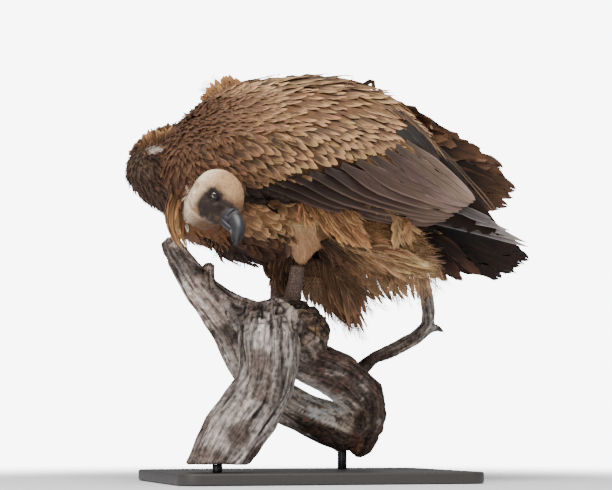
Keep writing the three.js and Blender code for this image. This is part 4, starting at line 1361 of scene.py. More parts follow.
def tufts():
    """Loose ends that break the outline: on back, shoulders and nape, and along the belly."""
    back = fan([(-132, 46, 556), (-106, 42, 566), (-80, 40, 572)],
               [(-147, 60, 572), (-128, 60, 593), (-104, 60, 604), (-82, 60, 591)],
               18, (0, -1, 0.2), 12, 0.4, "#7E532F", "#B07C4A", jitter=1.5, split=0.5, wear=0.2, layer=0.4)
    shoulder = fan([(-222, 132, 478), (-196, 134, 492), (-168, 128, 500)],
                   [(-228, 140, 499), (-221, 140, 518), (-201, 140, 529), (-180, 138, 536)],
                   22, (0, -1, 0.2), 13, 0.7, "#6A4E3B", "#B07C4A", jitter=3.0, split=0.5, wear=0.1,
                   layer=0.4)
    near_shoulder = fan([(-228, 88, 488), (-210, 84, 496), (-190, 78, 502)],
                        [(-234, 84, 504), (-222, 80, 517), (-205, 76, 521), (-188, 72, 526)],
                        16, (-0.2, -1, 0.3), 7, 0.8, "#7A5538", "#C08F5E", jitter=3.0, clearance=3,
                        split=0.5, wear=0.1, layer=0.3)
    over_white = fan([(-232, 92, 500), (-214, 84, 504)], [(-222, 90, 480), (-206, 82, 482), (-194, 78, 488)],
                     5, (-0.3, -1, 0.3), 5, 0.5, "#6A4C38", "#A88464", jitter=2.5, clearance=5, split=0.3,
                     layer=0.3)
    nape = fan([(-166, -40, 536), (-142, -30, 548), (-124, -24, 556)],
               [(-148, -40, 548), (-122, -32, 558), (-100, -28, 566)],
               9, (0, -0.6, 1), 7, 0.8, "#3E2C22", "#8E6847", jitter=2.5, clearance=6, split=0.3, layer=0.3)
    fringe = fan([(30, -46, 302), (90, -54, 292), (150, -62, 300)],
                 [(60, -42, 272), (90, -42, 262), (113, -50, 259), (134, -47, 265), (176, -55, 266)],
                 15, (0.2, -1, 0), 8, 0.45, "#503A2C", "#94714F", jitter=3.5, split=0.5, wear=0.2, layer=0.4)
    dark_to_pale = np.linspace(0, 1, 34)[:, None] ** 0.8
    hem = fan([(-6, -62, 334), (40, -72, 330), (96, -80, 326), (140, -78, 330)],
              [(52, -62, 284), (84, -64, 274), (130, -66, 272), (178, -64, 284)],
              34, (0.2, -1, 0), 15, 0.6, mix("#3E281B", "#A87A54", dark_to_pale),
              mix("#7A583D", "#D9AF84", dark_to_pale), jitter=8.0, clearance=1, split=0.6, wear=0.3,
              layer=0.2)
    point = fan([(6, -44, 306), (40, -50, 306)], [(70, -6, 232), (86, -2, 215), (88, -8, 226)],
                12, (0.1, -1, 0.1), 9, 0.9, "#5E4230", "#A27C5C", jitter=2.5, clearance=1, split=0.6,
                wear=0.2, layer=0.3)
    return back, shoulder, near_shoulder, over_white, nape, fringe, hem, point


def fray(paths, out, reach, colour, pairs, barb, fan=(0.9, 0.3)):
    """Loose barbs along paths, with no vane between them."""
    paths = np.asarray(paths, float)
    spine = np.stack([spline(path, ROWS) for path in paths])
    outward = np.broadcast_to(unit(np.asarray(out, float)), spine.shape)
    count = len(paths)
    return plumes(spine, outward, np.full(count, float(reach)), GROUND.root_uv(spine[:, 0]),
                  vary(np.broadcast_to(linear(colour), (count, 3)), 0.15, spine[:, 0]),
                  rng.random(count), pairs=pairs, barb=barb, fan=fan)


def loose_barbs():
    """Soft fringes: white down by the far shoulder, the flank's hem, the belly and the back tuft."""
    white = fray(guided([(-226, 92, 490), (-214, 84, 482)], [(-212, 84, 497), (-200, 76, 489)],
                        8, jitter=3.4), (-0.3, -1, 0.3), 5, "#D8CCC0", 8, 0.6)
    hem_count = 46
    dark_to_pale = np.linspace(0, 1, hem_count)[:, None]
    hem = fray(guided([(0, -66, 326), (50, -74, 320), (100, -80, 316), (150, -76, 322)],
                      [(60, -64, 276), (92, -66, 268), (134, -68, 266), (182, -66, 278)],
                      hem_count, jitter=7.0),
               (0.2, -1, 0), 15, mix("#5A3F2C", "#D9B088", dark_to_pale), 12, 0.7)
    tuft = fray(guided([(-30, -44, 316), (10, -56, 316), (50, -60, 312)],
                       [(44, -6, 240), (72, 2, 224), (98, -16, 250)],
                       44, jitter=8.0), (0.1, -1, 0.1), 16, "#6E4E38", 14, 0.7, fan=(0.7, 0.25))
    back = fray(guided([(-128, 50, 570), (-106, 46, 578), (-84, 44, 580)],
                       [(-147, 60, 576), (-128, 60, 597), (-80, 60, 592)],
                       16, jitter=2.0), (0, -1, 0.2), 7, "#B98D62", 8, 0.6)
    beside_foot = fray(guided([(-20, -44, 300), (6, -46, 298)],
                              [(-12, -30, 248), (2, -28, 246), (20, -24, 250)],
                              12, jitter=3.0), (0.1, -1, 0.1), 9, "#9C7A5E", 9, 0.6)
    return white + hem + tuft + back + beside_foot


def hanging_tuft():
    """Brown feathers that hang behind the near leg."""
    return fan([(-60, -30, 324), (-20, -40, 318), (12, -50, 318), (50, -56, 314)],
               [(-52, 10, 286), (-22, 14, 262), (14, -6, 254), (44, 0, 240), (74, 2, 226), (92, -14, 256)],
               48, (0.1, -1, 0.1), 14, 0.8, "#6A4A33", "#AA8160", jitter=4.0, clearance=1, split=0.6,
               wear=0.2, layer=0.2)


def flank_fans():
    """Three fans of long soft feathers that lie over thigh and flank, straw-pale where they end."""
    # each fan: roots, tips, count, brown, tawny and straw tones, and the share of its first feathers that is
    # painted dark as shadow
    fans = (([(-49, -128, 390), (-30, -141, 391), (-6, -140, 388), (16, -141, 386)],
             [(-40, -110, 360), (0, -128, 343), (34, -126, 327), (61, -122, 315), (53, -130, 341),
              (44, -132, 356)],
             22, "#74482B", "#AC7544", "#D9A370", 0.0),
            ([(35, -150, 388), (66, -150, 388), (92, -141, 378)],
             [(100, -118, 371), (131, -104, 365), (136, -110, 348), (123, -116, 335), (97, -122, 327)],
             20, "#7E5232", "#BA8353", "#E8B785", 0.0),
            ([(-10, -110, 338), (3, -123, 342), (26, -130, 330), (47, -125, 328)],
             [(14, -88, 311), (56, -94, 297), (100, -98, 292), (139, -94, 291), (158, -96, 300),
              (153, -100, 312), (126, -113, 320)], 34, "#6A4127", "#BC8654", "#F3C693", 0.5))
    batches = []
    for roots, tips, count, brown, tawny, straw, shaded_share in fans:
        paths = guided(roots, tips, count, bow=(0, -3, 3), jitter=3.0)
        order = rng.permutation(count)
        streak = rng.random(count)[:, None]
        inner = mix(linear(brown), linear(tawny), 0.6 * streak)
        outer = mix(linear(tawny), linear(straw), 0.4 + 0.6 * streak)
        # painted shadow: the first feathers of the lowest fan are darkened where the flank lies in shade at
        # its lower front
        shade = smoothstep(shaded_share, shaded_share * 0.3 - 0.001, np.linspace(0, 1, count))[:, None]
        inner, outer = mix(inner, "#2C1A11", 0.85 * shade), mix(outer, "#5A3B28", 0.85 * shade)
        batches.append(quills(paths[order], (0.1, -1, 0.1), rng.uniform(11, 19, count), 0.65, inner[order],
                              outer[order],
                              clearance=1.5, split=0.5, wear=0.25, layer=0.12, tone=0.16))
        batches += fray(paths + np.array([0, -2, 0]), (0.1, -1, 0.1), 11, outer, pairs=13, barb=0.6,
                        fan=(0.6, 0.2))
    return batches


def bristles():
    """Dark hair-like feathers under the throat."""
    paths = guided([(-190, -112, 350), (-140, -72, 330), (-96, -40, 322)],
                   [(-180, -118, 330), (-168, -108, 320), (-136, -60, 308), (-106, -40, 303),
                    (-84, -28, 304)],
                   34, bow=(4, 0, 2), jitter=3.5)
    return quills(paths, (0, -1, 0), 1.7, 0.9, "#241B18", "#3B2C24", split=0, wear=0, layer=0.1)


def dress_quills():
    """Flight feathers, tail and every other feather that is laid along listed paths."""
    coat_piece("flight_feathers_near_wing", near_wing_quills(), QUILLS, ("wing_left_flight",))
    coat_piece("flight_feathers_far_wing", far_wing_quills(), QUILLS, ("wing_right_flight",))
    tail, above, below = tail_quills()
    coat_piece("tail_feathers", [tail], QUILLS, ("tail",))
    coat_piece("tail_coverts", [above, below], VANES)
    coat_piece("loose_tufts", [*tufts(), bristles(), hanging_tuft()], VANES)
    coat_piece("loose_barbs", loose_barbs(), DOWN)
    coat_piece("flank_fans", flank_fans(), VANES)


# ------------------------------------------------------------------ plumes, down and ruff
def flank_tones(points):
    """Brown at the roots of the flank and straw-pale where the plumes end, in streaks."""
    far = smoothstep(20, 150, points[:, 0] - 0.4 * (points[:, 2] - 340))
    streak = smoothstep(-0.35, 0.35, noise(points * np.array([0.5, 1, 1]), 16.0, 61))
    inner = blend("#5E3A24", "#BD8A5C", streak * 0.6 + 0.4 * far)
    outer = blend("#B57E52", "#F6CE9E", 0.25 * streak + 0.75 * far)
    return inner, outer


def plume_tract(where, gap, length, heading, reach, lift, tone=0.12, colours=tones_at):
    """Soft plumes with loose barbs, rooted all over a zone."""
    roots, normals, uv = scatter(where, gap)
    count = len(roots)
    long = length(roots) * rng.uniform(0.8, 1.2, count)
    way = lying(unit(heading(roots) + rng.normal(0, 0.14, (count, 3))), normals) + normals * 0.05
    centre, fringe = colours(roots)
    centre = vary(blend(centre, fringe, rng.random(count) ** 1.4), tone, roots)
    spine, out = drape(roots, unit(way), normals, long, lift * rng.uniform(0.5, 1.3, count))
    return plumes(spine, out, reach * rng.uniform(0.8, 1.2, count), uv, centre, rng.random(count),
                  pairs=11, barb=0.8)


def down_tract(where, gap, length, heading, blades, spread, stand, width, tone=0.07):
    """Short down: a few fine blades from each root."""
    roots, normals, uv = scatter(where, gap)
    centre, _ = feather_tones(roots, labels_at(roots))
    batches = []
    for _ in range(blades):
        way = lying(unit(heading(roots) + rng.normal(0, spread, roots.shape)), normals)
        way = unit(way + normals * stand * rng.uniform(0.4, 1.3, (len(roots), 1)))
        base = roots + rng.normal(0, 0.25 * gap(roots)[:, None], roots.shape) - normals * 0.6
        long = length(roots) * rng.uniform(0.6, 1.3, len(roots))
        batches.append(strips(base, way, normals, long, np.full(len(roots), width), -0.35 * normals, uv,
                              vary(centre, tone, roots), rng.random(len(roots))))
    return batches


def steady_way(*direction):
    """A heading that is the same all over a zone."""
    return lambda points: np.tile(unit(np.array(direction, float)), (len(points), 1))


def dress_plumes():
    """The flank's vanes and plumes, blown backwards, and the belly's plumes."""
    flank, belly = in_nodes("flank_plumes"), in_nodes("belly_plumes")
    blown = lambda p: unit(np.stack([np.ones(len(p)), np.full(len(p), -0.05),
                                     -0.25 - 0.004 * (360 - p[:, 2])], axis=1))
    open_flank = lambda p, l: flank(p, l) & (sock_mask(p) < 0.5)
    flank_length = lambda p: np.interp(p[:, 0], [60, 130], [56, 34])
    soft_vanes = contour_tract(open_flank, steady(8.5), flank_length, blown, width=0.30, lift=10, point=0.6,
                               soft=1.7, stretch=2.2, spread=0.16, tone=0.2, colours=flank_tones)
    coat_piece("flank_feathers", soft_vanes, VANES)
    plumed_flank = plume_tract(open_flank, steady(10.0), flank_length, blown, 15.0, 15, tone=0.2,
                               colours=flank_tones)
    coat_piece("flank_plume_feathers", plumed_flank, DOWN)
    plumed_belly = plume_tract(belly, steady(7.5), steady(36), steady_way(0.5, 0, -0.85), 13.0, 9)
    coat_piece("belly_plume_feathers", plumed_belly, DOWN)


def dress_down():
    """The white down hood round the nape and the short down of crown, throat and thigh."""
    hooded = lambda p, l: in_nodes("neck_upper")(p, l) & (face_mask(p) < 0.4) & (p[:, 2] > 352)
    hood = down_tract(hooded, steady(1.8), steady(7.0), steady_way(-0.35, 0.5, 0.2), blades=5, spread=0.5,
                      stand=0.5, width=0.6, tone=0.15)
    bare = lambda p, l: in_nodes("head")(p, l) & (face_mask(p) < 0.45) & (to_head(p)[:, 0] < 42)
    crown = down_tract(bare, steady(1.25), steady(4.6), steady_way(*(-HEAD_FORWARD)), blades=4, spread=0.5,
                       stand=0.55, width=0.42, tone=0.2)
    shin = lambda p, l: in_nodes("thigh_left")(p, l) | (sock_mask(p) >= 0.5)
    sock = down_tract(shin, steady(2.8), steady(9.0), steady_way(0.15, 0, -1), blades=5, spread=0.25,
                      stand=0.3, width=1.0)
    coat_piece("hood_down", hood, DOWN)
    coat_piece("head_down", crown, DOWN)
    coat_piece("thigh_down", sock, DOWN)


SKIN = finish_piece(SKIN, SKIN_FINISH, FLESH)


def colour_skin():
    """The skin takes the tones of the coat above it, a little darker."""
    points = points_of(SKIN.data)
    centre, _ = feather_tones(points, labels_at(points))
    head = smoothstep(60, 50, np.linalg.norm(to_head(points), axis=1))
    set_colour(SKIN.data, "centre", blend(centre * 0.75, centre, head))


# ------------------------------------------------------------------ eyes, cere and bill
CERE_SPINE = [[22, 2.5, 0], [31, 3, 0], [39, 3, 0], [46, 2.8, 0], [50, 2.4, 0]]
CERE_HALF = [[10.8, 12.6], [10.4, 12.4], [9.8, 11.8], [9.3, 11.3], [8.2, 10.4]]
UPPER_BILL_SPINE = [[44, 1.8, 0], [53, 0.4, 0], [60.5, -3.2, 0], [66.5, -8.2, 0], [71.6, -14.0, 0],
                    [75.8, -18.6, 0], [77.8, -25, 0]]
UPPER_BILL_HALF = [[9.0, 11.2], [9.1, 11.0], [8.9, 10.6], [7.8, 9.6], [5.6, 7.8], [3.1, 4.8], [0.8, 1.2]]
LOWER_BILL_SPINE = [[32, -8.5, 0], [43, -9.5, 0], [53, -9.8, 0], [62, -9.8, 0], [68, -9.5, 0]]
LOWER_BILL_HALF = [[7.6, 4.4], [7.6, 4.6], [6.8, 4.2], [5, 3.2], [2.4, 1.6]]
NOSTRIL = [(42, 0, 9.6), (43, 5, 9.7), (42.5, 10, 7.8), (41.5, 13.4, 4.6)]
HORN_GREY, HORN_DARK, HORN_PALE = linear("#2C2B2F"), linear("#0B0B0D"), linear("#C8BCAB")
CERE_GREY = linear("#38353A")


def relieved(place, spine, relief):
    """A limb's place() with a relief in its own frame, pushed out from the limb's middle line."""
    def moved(t, angle):
        points = place(t, angle)
        return points + unit(points - spline(spine, t)) * relief(points)[:, None]
    return moved


def cere_relief(q):
    side = folded(q)
    nostril = crease_at(side, NOSTRIL, 1.1, 2.4)
    brim = 0.8 * np.exp(-((side[:, 0] - 39.5) / 2.2) ** 2)
    lip = 0.7 * np.exp(-((side[:, 0] - 46.5) / 1.5) ** 2)
    return nostril + brim + lip + 0.3 * noise(q, 6.0, 21) + 0.15 * noise(q, 2.4, 22)


def cere_tones(q):
    slit = -crease_at(folded(q), NOSTRIL, 1.5, 1.0)
    tones = np.tile(CERE_GREY, (len(q), 1))
    tones = blend(tones, FACE, smoothstep(40, 30, q[:, 0]) * 0.8)
    # painted shade: the nostril slit, a crease sunk into the cere, is painted near-black
    tones = blend(tones, HORN_DARK, smoothstep(0.25, 0.8, slit))
    return tones * (1 + 0.08 * noise(q, 4.0, 23))[:, None]


def upper_bill_relief(q):
    culmen = 0.5 * np.exp(-(q[:, 2] / 2.2) ** 2) * smoothstep(-2, 4, q[:, 1] + 0.6 * (q[:, 0] - 62))
    below = smoothstep(-3, -9, q[:, 1]) * smoothstep(46, 56, q[:, 0])
    pinch = -1.2 * smoothstep(3, 9, np.abs(q[:, 2])) * below
    return culmen + pinch + 0.12 * noise(q * np.array([1, 2.5, 1]), 3.0, 24)


def upper_bill_tones(q):
    tones = np.tile(HORN_GREY, (len(q), 1))
    along = q[:, 0] - 0.75 * q[:, 1]
    tones = blend(tones, HORN_DARK, smoothstep(70, 94, along + 3 * noise(q, 7.0, 25)))
    tones = blend(tones, HORN_DARK, 0.6 * np.exp(-((q[:, 0] - 48.5) / 1.4) ** 2))
    streak = noise(q * np.array([0.25, 1.6, 1.6]), 2.4, 26)
    tomium = smoothstep(-8.8, -10.4, q[:, 1] + 0.2 * (q[:, 0] - 54)) * smoothstep(68, 58, q[:, 0])
    tones = blend(tones, HORN_PALE, 0.3 * tomium)
    return tones * (1 + 0.10 * streak)[:, None]


def lower_bill_tones(q):
    tones = blend(np.tile(HORN_GREY, (len(q), 1)), HORN_DARK, smoothstep(50, 66, q[:, 0]))
    return blend(tones, FACE, smoothstep(46, 34, q[:, 0]))


def head_piece(name, spine, half, ends, power, relief, tones, sides, rings):
    """A part of the head shaped and coloured in the head's own frame."""
    place = relieved(limb_points(spine, half, (0.2, 1, 0), ends, power), spine, relief)
    obj = wrapped(name, sides, rings, in_head(place))
    set_colour(obj.data, "centre", np.clip(tones(to_head(points_of(obj.data))), 0.004, 0.9))
    return obj


def make_bill():
    """Cere, upper bill and lower bill."""
    cere = head_piece("cere_skin", CERE_SPINE, CERE_HALF, (0.15, 0.1), 2.15, cere_relief, cere_tones, 72, 80)
    upper = head_piece("bill_upper_horn", UPPER_BILL_SPINE, UPPER_BILL_HALF, (0.03, 0.05), 2.2,
                       upper_bill_relief, upper_bill_tones, 56, 64)
    lower = head_piece("bill_lower_horn", LOWER_BILL_SPINE, LOWER_BILL_HALF, (0.1, 0.14), 2.0,
                       lambda q: 0.1 * noise(q, 3.0, 27), lower_bill_tones, 40, 44)
    finish_piece(cere, CERE_FINISH, ("cere",))
    finish_piece(upper, HORN_FINISH, ("bill_upper",))
    finish_piece(lower, HORN_FINISH, ("bill_lower",))


def make_eyes():
    """Dark brown eyes: a ball with a clear bulge over iris and pupil."""
    for word, side in (("left", -1), ("right", 1)):
        centre, gaze = eye_place(side)
        across = unit(np.cross(gaze, [0, 1, 0]))
        frame_of_eye = np.array([across, np.cross(gaze, across), gaze])
        bpy.ops.mesh.primitive_uv_sphere_add(segments=48, ring_count=36, radius=1)
        obj = bpy.context.active_object
        obj.name = obj.data.name = f"eye_{word}_ball"
        ball = unit(points_of(obj.data))
        off = np.degrees(np.arccos(np.clip(ball[:, 2], -1, 1)))
        bulge = 0.45 * smoothstep(42, 20, off)
        put_points(obj.data, from_head(centre + (ball * (EYE_RADIUS + bulge)[:, None]) @ frame_of_eye))
        set_value(obj.data, "off_axis", off / 90)
        finish_piece(obj, EYE_FINISH, (f"eye_{word}",))


# ------------------------------------------------------------------ ruff
RUFF_SPINE = [[-172, -94, 436], [-200, -97, 402], [-214, -99, 366], [-211, -100, 338], [-200, -101, 320]]
RUFF_HALF = [[15, 13], [20, 15], [17, 11], [9, 7], [3, 3]]


def dress_ruff():
    """Long lance-shaped feathers gathered into a curtain beside the nape."""
    count = 90
    start = rng.uniform(0, 0.42, count)
    end = np.clip(start + rng.uniform(0.4, 0.62, count), 0, 1)
    steps = start[:, None] + (end - start)[:, None] * np.linspace(0, 1, 5)[None]
    turn = rng.uniform(-math.pi, math.pi, count)
    share = np.sqrt(rng.uniform(0.35, 1, count))
    along = unit(spline(RUFF_SPINE, np.minimum(steps + 0.02, 1))
                 - spline(RUFF_SPINE, np.maximum(steps - 0.02, 0)))
    side = unit(np.cross(along, [0, 1, 0]))
    top = np.cross(side, along)
    half = spline(RUFF_HALF, steps) * share[:, None, None]
    across, up = np.cos(turn)[:, None, None], np.sin(turn)[:, None, None]
    radial = side * across * half[..., :1] + top * up * half[..., 1:]
    paths = spline(RUFF_SPINE, steps) + radial + rng.normal(0, 0.8, radial.shape)
    batch = quills(paths, unit(radial[:, 1]), rng.uniform(6, 8.5, count), 0.95, "#AE7448",
                   "#CDA06F", clearance=2, layer=0.02, tone=0.16, split=0.2)
    coat_piece("ruff_feathers", [batch], VANES, ("ruff",))


# ------------------------------------------------------------------ legs and claws
CLAW_NODES = [f"claw_{word}_{toe}" for word in ("left", "right")
              for toe in ("inner", "middle", "outer", "hind")]


def smoothed_copy(name, nodes, voxel, rounds):
    """Nodes melted into one fine mesh whose edges are worn round."""
    obj = joined_copies(name, [copy_of(node) for node in nodes])
    apply_modifier(obj, "REMESH", mode="VOXEL", voxel_size=voxel)
    apply_modifier(obj, "SMOOTH", factor=0.5, iterations=rounds)
    return obj


def make_legs():
    """Scaled grey legs; each claw is a part of its own."""
    for word in ("left", "right"):
        leg = smoothed_copy(f"leg_{word}", [f"tarsus_{word}", f"foot_{word}"], 0.0012, 5)
        points, normals = points_of(leg.data), normals_of(leg.data)
        ridges = np.sin(points[:, 2] / 1.1 + 1.5 * noise(points, 9.0, 31))
        put_points(leg.data, points + normals * (0.5 * noise(points, 7.0, 32) + 0.14 * ridges
                                                 + 0.25 * noise(points, 3.0, 33))[:, None])
        finish_piece(leg, LEG_FINISH, (f"tarsus_{word}", f"foot_{word}"))
    for node in CLAW_NODES:
        claw = smoothed_copy(node + "_horn", [node], 0.0007, 6)
        finish_piece(claw, CLAW_FINISH, (node,))


# ------------------------------------------------------------------ branch
# middle lines of the branch's limbs, for the lie of the grain
WOOD_LINES = [
    [[-183, -116, -12], [-161, -108, 26], [-125, -96, 78], [-94, -87, 118], [-80, -85, 158], [-79, -85, 206],
     [-76, -84, 262]],
    [[-187, 100, 362], [-161, 98, 317], [-128, 97, 274], [-90, 92, 228], [-62, 76, 164], [-16, 58, 112],
     [27, 54, 92], [61, 50, 78], [92, 44, 68], [104, 30, 90], [90, 12, 124], [41, -8, 157], [-8, -20, 172],
     [-34, -28, 186]],
    [[-124, 98, 284], [-124, 99, 308], [-122, 100, 326]],
    [[88, 30, 158], [120, 50, 182], [164, 60, 199], [204, 60, 224], [213, 60, 246], [207, 60, 292],
     [205, 60, 306]],
    [[-118, 98, 284], [-96, 92, 269], [-64, 84, 255], [-34, 66, 244]],
    [[70, 44, 80], [94, 42, 68], [95, 41, 52], [88, 40, 36]]]
WOOD_CRACKS = [
    ([(-106, -134, 222), (-100, -136, 187), (-131, -138, 136), (-156, -142, 95), (-175, -146, 58)], 2.0),
    ([(-70, -128, 212), (-60, -126, 171), (-74, -130, 115), (-99, -138, 74), (-116, -146, 20)], 1.6)]
WOOD_GREY, WOOD_BROWN, WOOD_DARK = linear("#9A8F88"), linear("#5E5048"), linear("#3F342E")
WOOD_PALE = linear("#D2C6BD")


def wood_frame(points):
    """How far each point lies along its limb, and its angle round it."""
    samples, ways, runs = [], [], []
    for k, line in enumerate(WOOD_LINES):
        t = np.linspace(0, 1, 60)
        path = spline(line, t)
        step = np.r_[0, np.linalg.norm(np.diff(path, axis=0), axis=1)]
        samples.append(path)
        ways.append(unit(np.gradient(path, axis=0)))
        runs.append(np.cumsum(step) + 1000 * k)
    samples, ways, runs = np.vstack(samples), np.vstack(ways), np.concatenate(runs)
    nearest = np.array([np.argmin(np.sum((samples - p) ** 2, axis=1)) for p in points])
    off = points - samples[nearest]
    way = ways[nearest]
    run = runs[nearest] + np.sum(off * way, axis=1)
    off = off - way * dot(off, way)
    side = unit(np.cross(way, [0, 1, 0]))
    angle = np.arctan2(np.sum(off * np.cross(side, way), axis=1), np.sum(off * side, axis=1))
    return run, angle


def make_perch():
    """Weathered dead wood: grain, ribs and long cracks along each limb, bark left in patches."""
    wood = smoothed_copy("perch", PERCH, 0.0023, 5)
    mesh = wood.data
    points, normals = points_of(mesh), normals_of(mesh)
    run, angle = wood_frame(points)
    round_it = np.stack([run / 9, 26 * np.cos(angle), 26 * np.sin(angle)], axis=1)
    ribs = noise(round_it, 7.0, 41)
    fine = noise(round_it * np.array([1.4, 1, 1]), 2.6, 42)
    cracks = np.clip(1 - np.abs(noise(round_it * np.array([0.6, 1, 1]), 9.0, 43)) / 0.07, 0, 1)
    cracks = cracks * smoothstep(-0.1, 0.3, noise(points, 45.0, 44))
    for line, width in WOOD_CRACKS:
        cracks = np.maximum(cracks, -crease_at(points + 3 * fine[:, None], line, width, 1.0))
    stump = smoothstep(-30, -60, points[:, 1]) * smoothstep(-10, -60, points[:, 0])
    top = stump * smoothstep(190, 235, points[:, 2])
    knob = bump_at(points, (-10, -50, 225), (60, 60, 38), 1.0)
    rugged = np.clip(top + knob, 0, 1)
    lumps = 6.0 * noise(points, 17.0, 46) + 4.2 * noise(points, 8.0, 47) + 1.6 * noise(points, 3.6, 51)
    hollows = np.clip(1 - np.abs(noise(points, 12.0, 52)) / 0.13, 0, 1)
    hollows = np.maximum(hollows, smoothstep(0.32, 0.5, noise(points, 8.0, 63)))
    height = 1.6 * ribs + 0.6 * fine - 2.6 * cracks + 1.4 * noise(points, 30.0, 45)
    height += rugged * (lumps - 3.6 * hollows) + bump_at(points, (20, -14, 246), (22, 28, 18), 5.0)
    height += bump_at(points, (-108, -90, 210), (14, 30, 20), 5.0) - 2.0 * top
    height += bump_at(points, (-8, -52, 247), (20, 26, 14), 7.0)
    put_points(mesh, points + normals * height[:, None])
    tones = np.tile(WOOD_GREY, (len(points), 1))
    tones = blend(tones, WOOD_PALE, smoothstep(-0.1, 0.35, noise(round_it, 10.0, 48)) * 0.8)
    tones = blend(tones, WOOD_BROWN, smoothstep(0.0, 0.5, noise(points, 34.0, 49) + 0.4 * ribs) * 0.85)
    tones = blend(tones, "#6B4E38", knob * 0.9)
    tones = blend(tones, "#B8935A", knob * smoothstep(0.25, 0.5, noise(points, 7.0, 53)) * 0.6)
    branch = smoothstep(30, 90, points[:, 1]) * smoothstep(120, 240, points[:, 2]) * (points[:, 0] < 0)
    tones = blend(tones, "#F0D6C6", branch * smoothstep(-0.35, 0.05, noise(points, 22.0, 50)) * 0.9)
    tones = blend(tones, WOOD_DARK, branch * smoothstep(0.25, 0.5, noise(points, 12.0, 60)) * 0.6)
    # the loop: the sunlit top of its lower arm is painted light; the rest is dark brown, the upper arm's own
    # tone and painted shade on the lower arm's underside
    loop = smoothstep(-40, 10, points[:, 0]) * smoothstep(215, 185, points[:, 2])
    middle = np.interp(points[:, 0], [-20, 27, 61, 90], [120, 98, 84, 74])
    sunlit = smoothstep(-16, -6, points[:, 2] - middle) * smoothstep(38, 28, points[:, 2] - middle)
    upper_arm = loop * (1 - sunlit * smoothstep(84, 66, points[:, 0] + 8 * noise(points, 14.0, 59)))
    bleached = smoothstep(0.0, 0.45, noise(points, 20.0, 54) + 0.25 * noise(points, 6.0, 61))
    tones = blend(tones, "#54423A", upper_arm * (1 - 0.8 * bleached) * 0.9)
    tones = blend(tones, "#7E5B48", upper_arm * smoothstep(0.38, 0.55, noise(points, 9.0, 62)) * 0.6)
    sunlit_lower_arm = loop * (1 - upper_arm)
    # the lower arm's sunlit top: partly pale bleached wood, partly painted light
    tones = blend(tones, "#E6D2BF", sunlit_lower_arm * smoothstep(-0.5, 0.1, noise(round_it, 15.0, 55)) * 0.95)
    rust = smoothstep(90, 40, points[:, 2]) * smoothstep(60, 90, points[:, 0])
    tones = blend(tones, "#7A4E34", rust * smoothstep(0.0, 0.4, noise(points, 12.0, 56)) * 0.8)
    grain = noise(round_it * np.array([1, 1.6, 1.6]), 2.0, 57) + 0.6 * noise(points, 4.0, 58)
    # painted shade: dark in the cracks, in the grooves between the ribs and in the hollows of the rugged top
    dark = np.clip(cracks * 1.2 + smoothstep(-0.3, -0.75, ribs) * 0.5 + rugged * hollows * 0.95, 0, 1)
    tones = blend(tones, WOOD_DARK, smoothstep(0.2, 0.5, noise(round_it, 5.0, 64)) * 0.7)
    tones = blend(tones, WOOD_DARK * 0.6, dark)
    # grain tone, times painted light that doubles the brightness of the lower arm's sunlit top
    shade = np.clip(1 + 0.4 * fine + 0.8 * grain, 0.2, 1.8) * (1 + sunlit_lower_arm)
    set_colour(mesh, "centre", np.clip(tones * shade[:, None], 0.008, 0.85))
    set_value(mesh, "run", run)
    set_value(mesh, "turn", angle * 26)
    finish_piece(wood, WOOD_FINISH, PERCH)


# ------------------------------------------------------------------ stand
def box_of(node):
    """The lowest and the highest corner of a solid's box, in mm."""
    points = points_of(NODES[node].data)
    return points.min(axis=0), points.max(axis=0)


def make_base():
    """A rounded slab of dark painted board."""
    low, high = box_of("stand_base")
    bpy.ops.mesh.primitive_cube_add(size=1)
    slab = bpy.context.active_object
    slab.name = slab.data.name = "stand_slab"
    put_points(slab.data, (low + high) / 2 + np.sign(points_of(slab.data)) * (high - low) / 2)
    editing = bmesh.new()
    editing.from_mesh(slab.data)
    upright = [e for e in editing.edges if abs(e.verts[0].co.z - e.verts[1].co.z) > 0.001]
    bmesh.ops.bevel(editing, geom=upright, offset=0.028, segments=14, profile=0.5, affect="EDGES")
    editing.to_mesh(slab.data)
    editing.free()
    apply_modifier(slab, "BEVEL", width=0.003, segments=4, limit_method="ANGLE", angle_limit=0.9)
    finish_piece(slab, PAINT_FINISH, ("stand_base",))
    slab.data.shade_smooth()


def make_rods():
    """Two upright rods with rounded ends."""
    for word in ("front", "back"):
        low, high = box_of(f"stand_rod_{word}")
        middle, size = (low + high) / 2, high - low
        bpy.ops.mesh.primitive_cylinder_add(vertices=48, radius=size[0] / 2 * MM, depth=size[2] * MM)
        rod = bpy.context.active_object
        rod.name = rod.data.name = f"stand_rod_{word}_steel"
        put_points(rod.data, points_of(rod.data) + middle)
        apply_modifier(rod, "BEVEL", width=0.0006, segments=2, limit_method="ANGLE", angle_limit=0.9)
        finish_piece(rod, STEEL_FINISH, (f"stand_rod_{word}",))


# ------------------------------------------------------------------ view
SKY_LIGHT, SKY_SEEN = 0.5, 8.5      # the sky as the bird is lit by it, and as it is seen
FLOOR_RADIUS, FLOOR_LEVEL = 1.5, -0.0005


def set_camera():
    """The camera stands low beside the bird, a little ahead of it, and looks up at its flank."""
    aim, azimuth, elevation, distance = np.array([0.0, 0.0, 0.345]), -16.0, -6.0, 2.6
    a, e = math.radians(azimuth), math.radians(elevation)
    back = np.array([math.sin(a) * math.cos(e), -math.cos(a) * math.cos(e), math.sin(e)])
    camera = bpy.data.cameras.new("camera")
    camera.lens = 104.0
    camera.sensor_width = 36.0
    obj = placed("camera", camera)
    obj.location = Vector(aim + distance * back)
    obj.rotation_euler = Vector(-back).to_track_quat("-Z", "Y").to_euler()
    bpy.context.scene.camera = obj


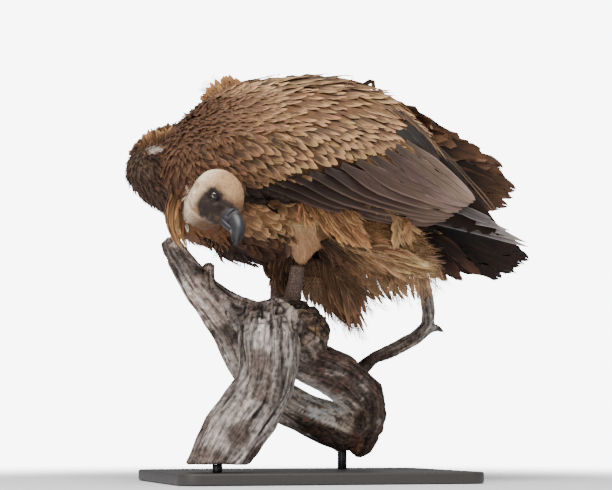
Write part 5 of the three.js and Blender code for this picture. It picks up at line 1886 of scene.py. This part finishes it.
def area_light(name, location, aim, size, power, colour):
    light = bpy.data.lights.new(name, "AREA")
    light.shape = "SQUARE"
    light.size = size
    light.energy = power
    light.color = tuple(linear(colour))
    obj = placed(name, light)
    obj.location = location
    obj.rotation_euler = (Vector(aim) - Vector(location)).to_track_quat("-Z", "Y").to_euler()


def set_light():
    """A bright even sky with soft lamps above and behind."""
    world = bpy.data.worlds.new("pale_sky")
    world.use_nodes = True
    bpy.context.scene.world = world
    tree = world.node_tree
    path = add_node(tree, "LightPath")
    strength = add_node(tree, "MapRange", {"Value": path.outputs["Is Camera Ray"],
                                           "To Min": SKY_LIGHT, "To Max": SKY_SEEN})
    feed(tree, tree.nodes["Background"], {"Color": rgba("#F6F7FC"), "Strength": strength})
    area_light("sky_panel", (-0.4, -0.9, 2.4), (0, 0, 0.4), 1.6, 80, "#FFFDF8")
    area_light("front_panel", (-2.4, -1.8, 1.2), (0, 0, 0.4), 1.2, 14, "#FBFCFF")
    area_light("low_panel", (-1.7, -1.9, 0.2), (-0.05, 0, 0.33), 1.0, 16, "#FFF9F2")


def set_floor():
    """A plain pale floor whose rim melts into the pale backdrop."""
    bpy.ops.mesh.primitive_circle_add(vertices=96, radius=FLOOR_RADIUS, fill_type="NGON",
                                      location=(0, 0, FLOOR_LEVEL))
    floor = bpy.context.active_object
    floor.name = "floor"
    material, tree, shader = new_material("pale_floor")
    place = add_node(tree, "TexCoord").outputs["Object"]
    radius = add_node(tree, "VectorMath", {0: place}, operation="LENGTH")
    fade = add_node(tree, "MapRange", {"Value": radius.outputs["Value"], "From Min": 0.3 * FLOOR_RADIUS,
                                       "From Max": 0.95 * FLOOR_RADIUS, "To Min": 1.0, "To Max": 0.0},
                    interpolation_type="SMOOTHSTEP")
    feed(tree, shader, {"Base Color": rgba("#F4F5F8"), "Roughness": 0.95, "Specular IOR Level": 0.1,
                        "Alpha": fade})
    floor.data.materials.append(material)
    floor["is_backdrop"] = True


def main():
    set_camera()
    set_light()
    set_floor()
    colour_skin()
    dress_wings()
    dress_body()
    dress_quills()
    dress_plumes()
    dress_down()
    dress_ruff()
    make_bill()
    make_eyes()
    make_legs()
    make_perch()
    make_base()
    make_rods()


main()

low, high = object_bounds()
{"cad": [list(c) for c in CAD_BOX], "visual": [list(low), list(high)]}
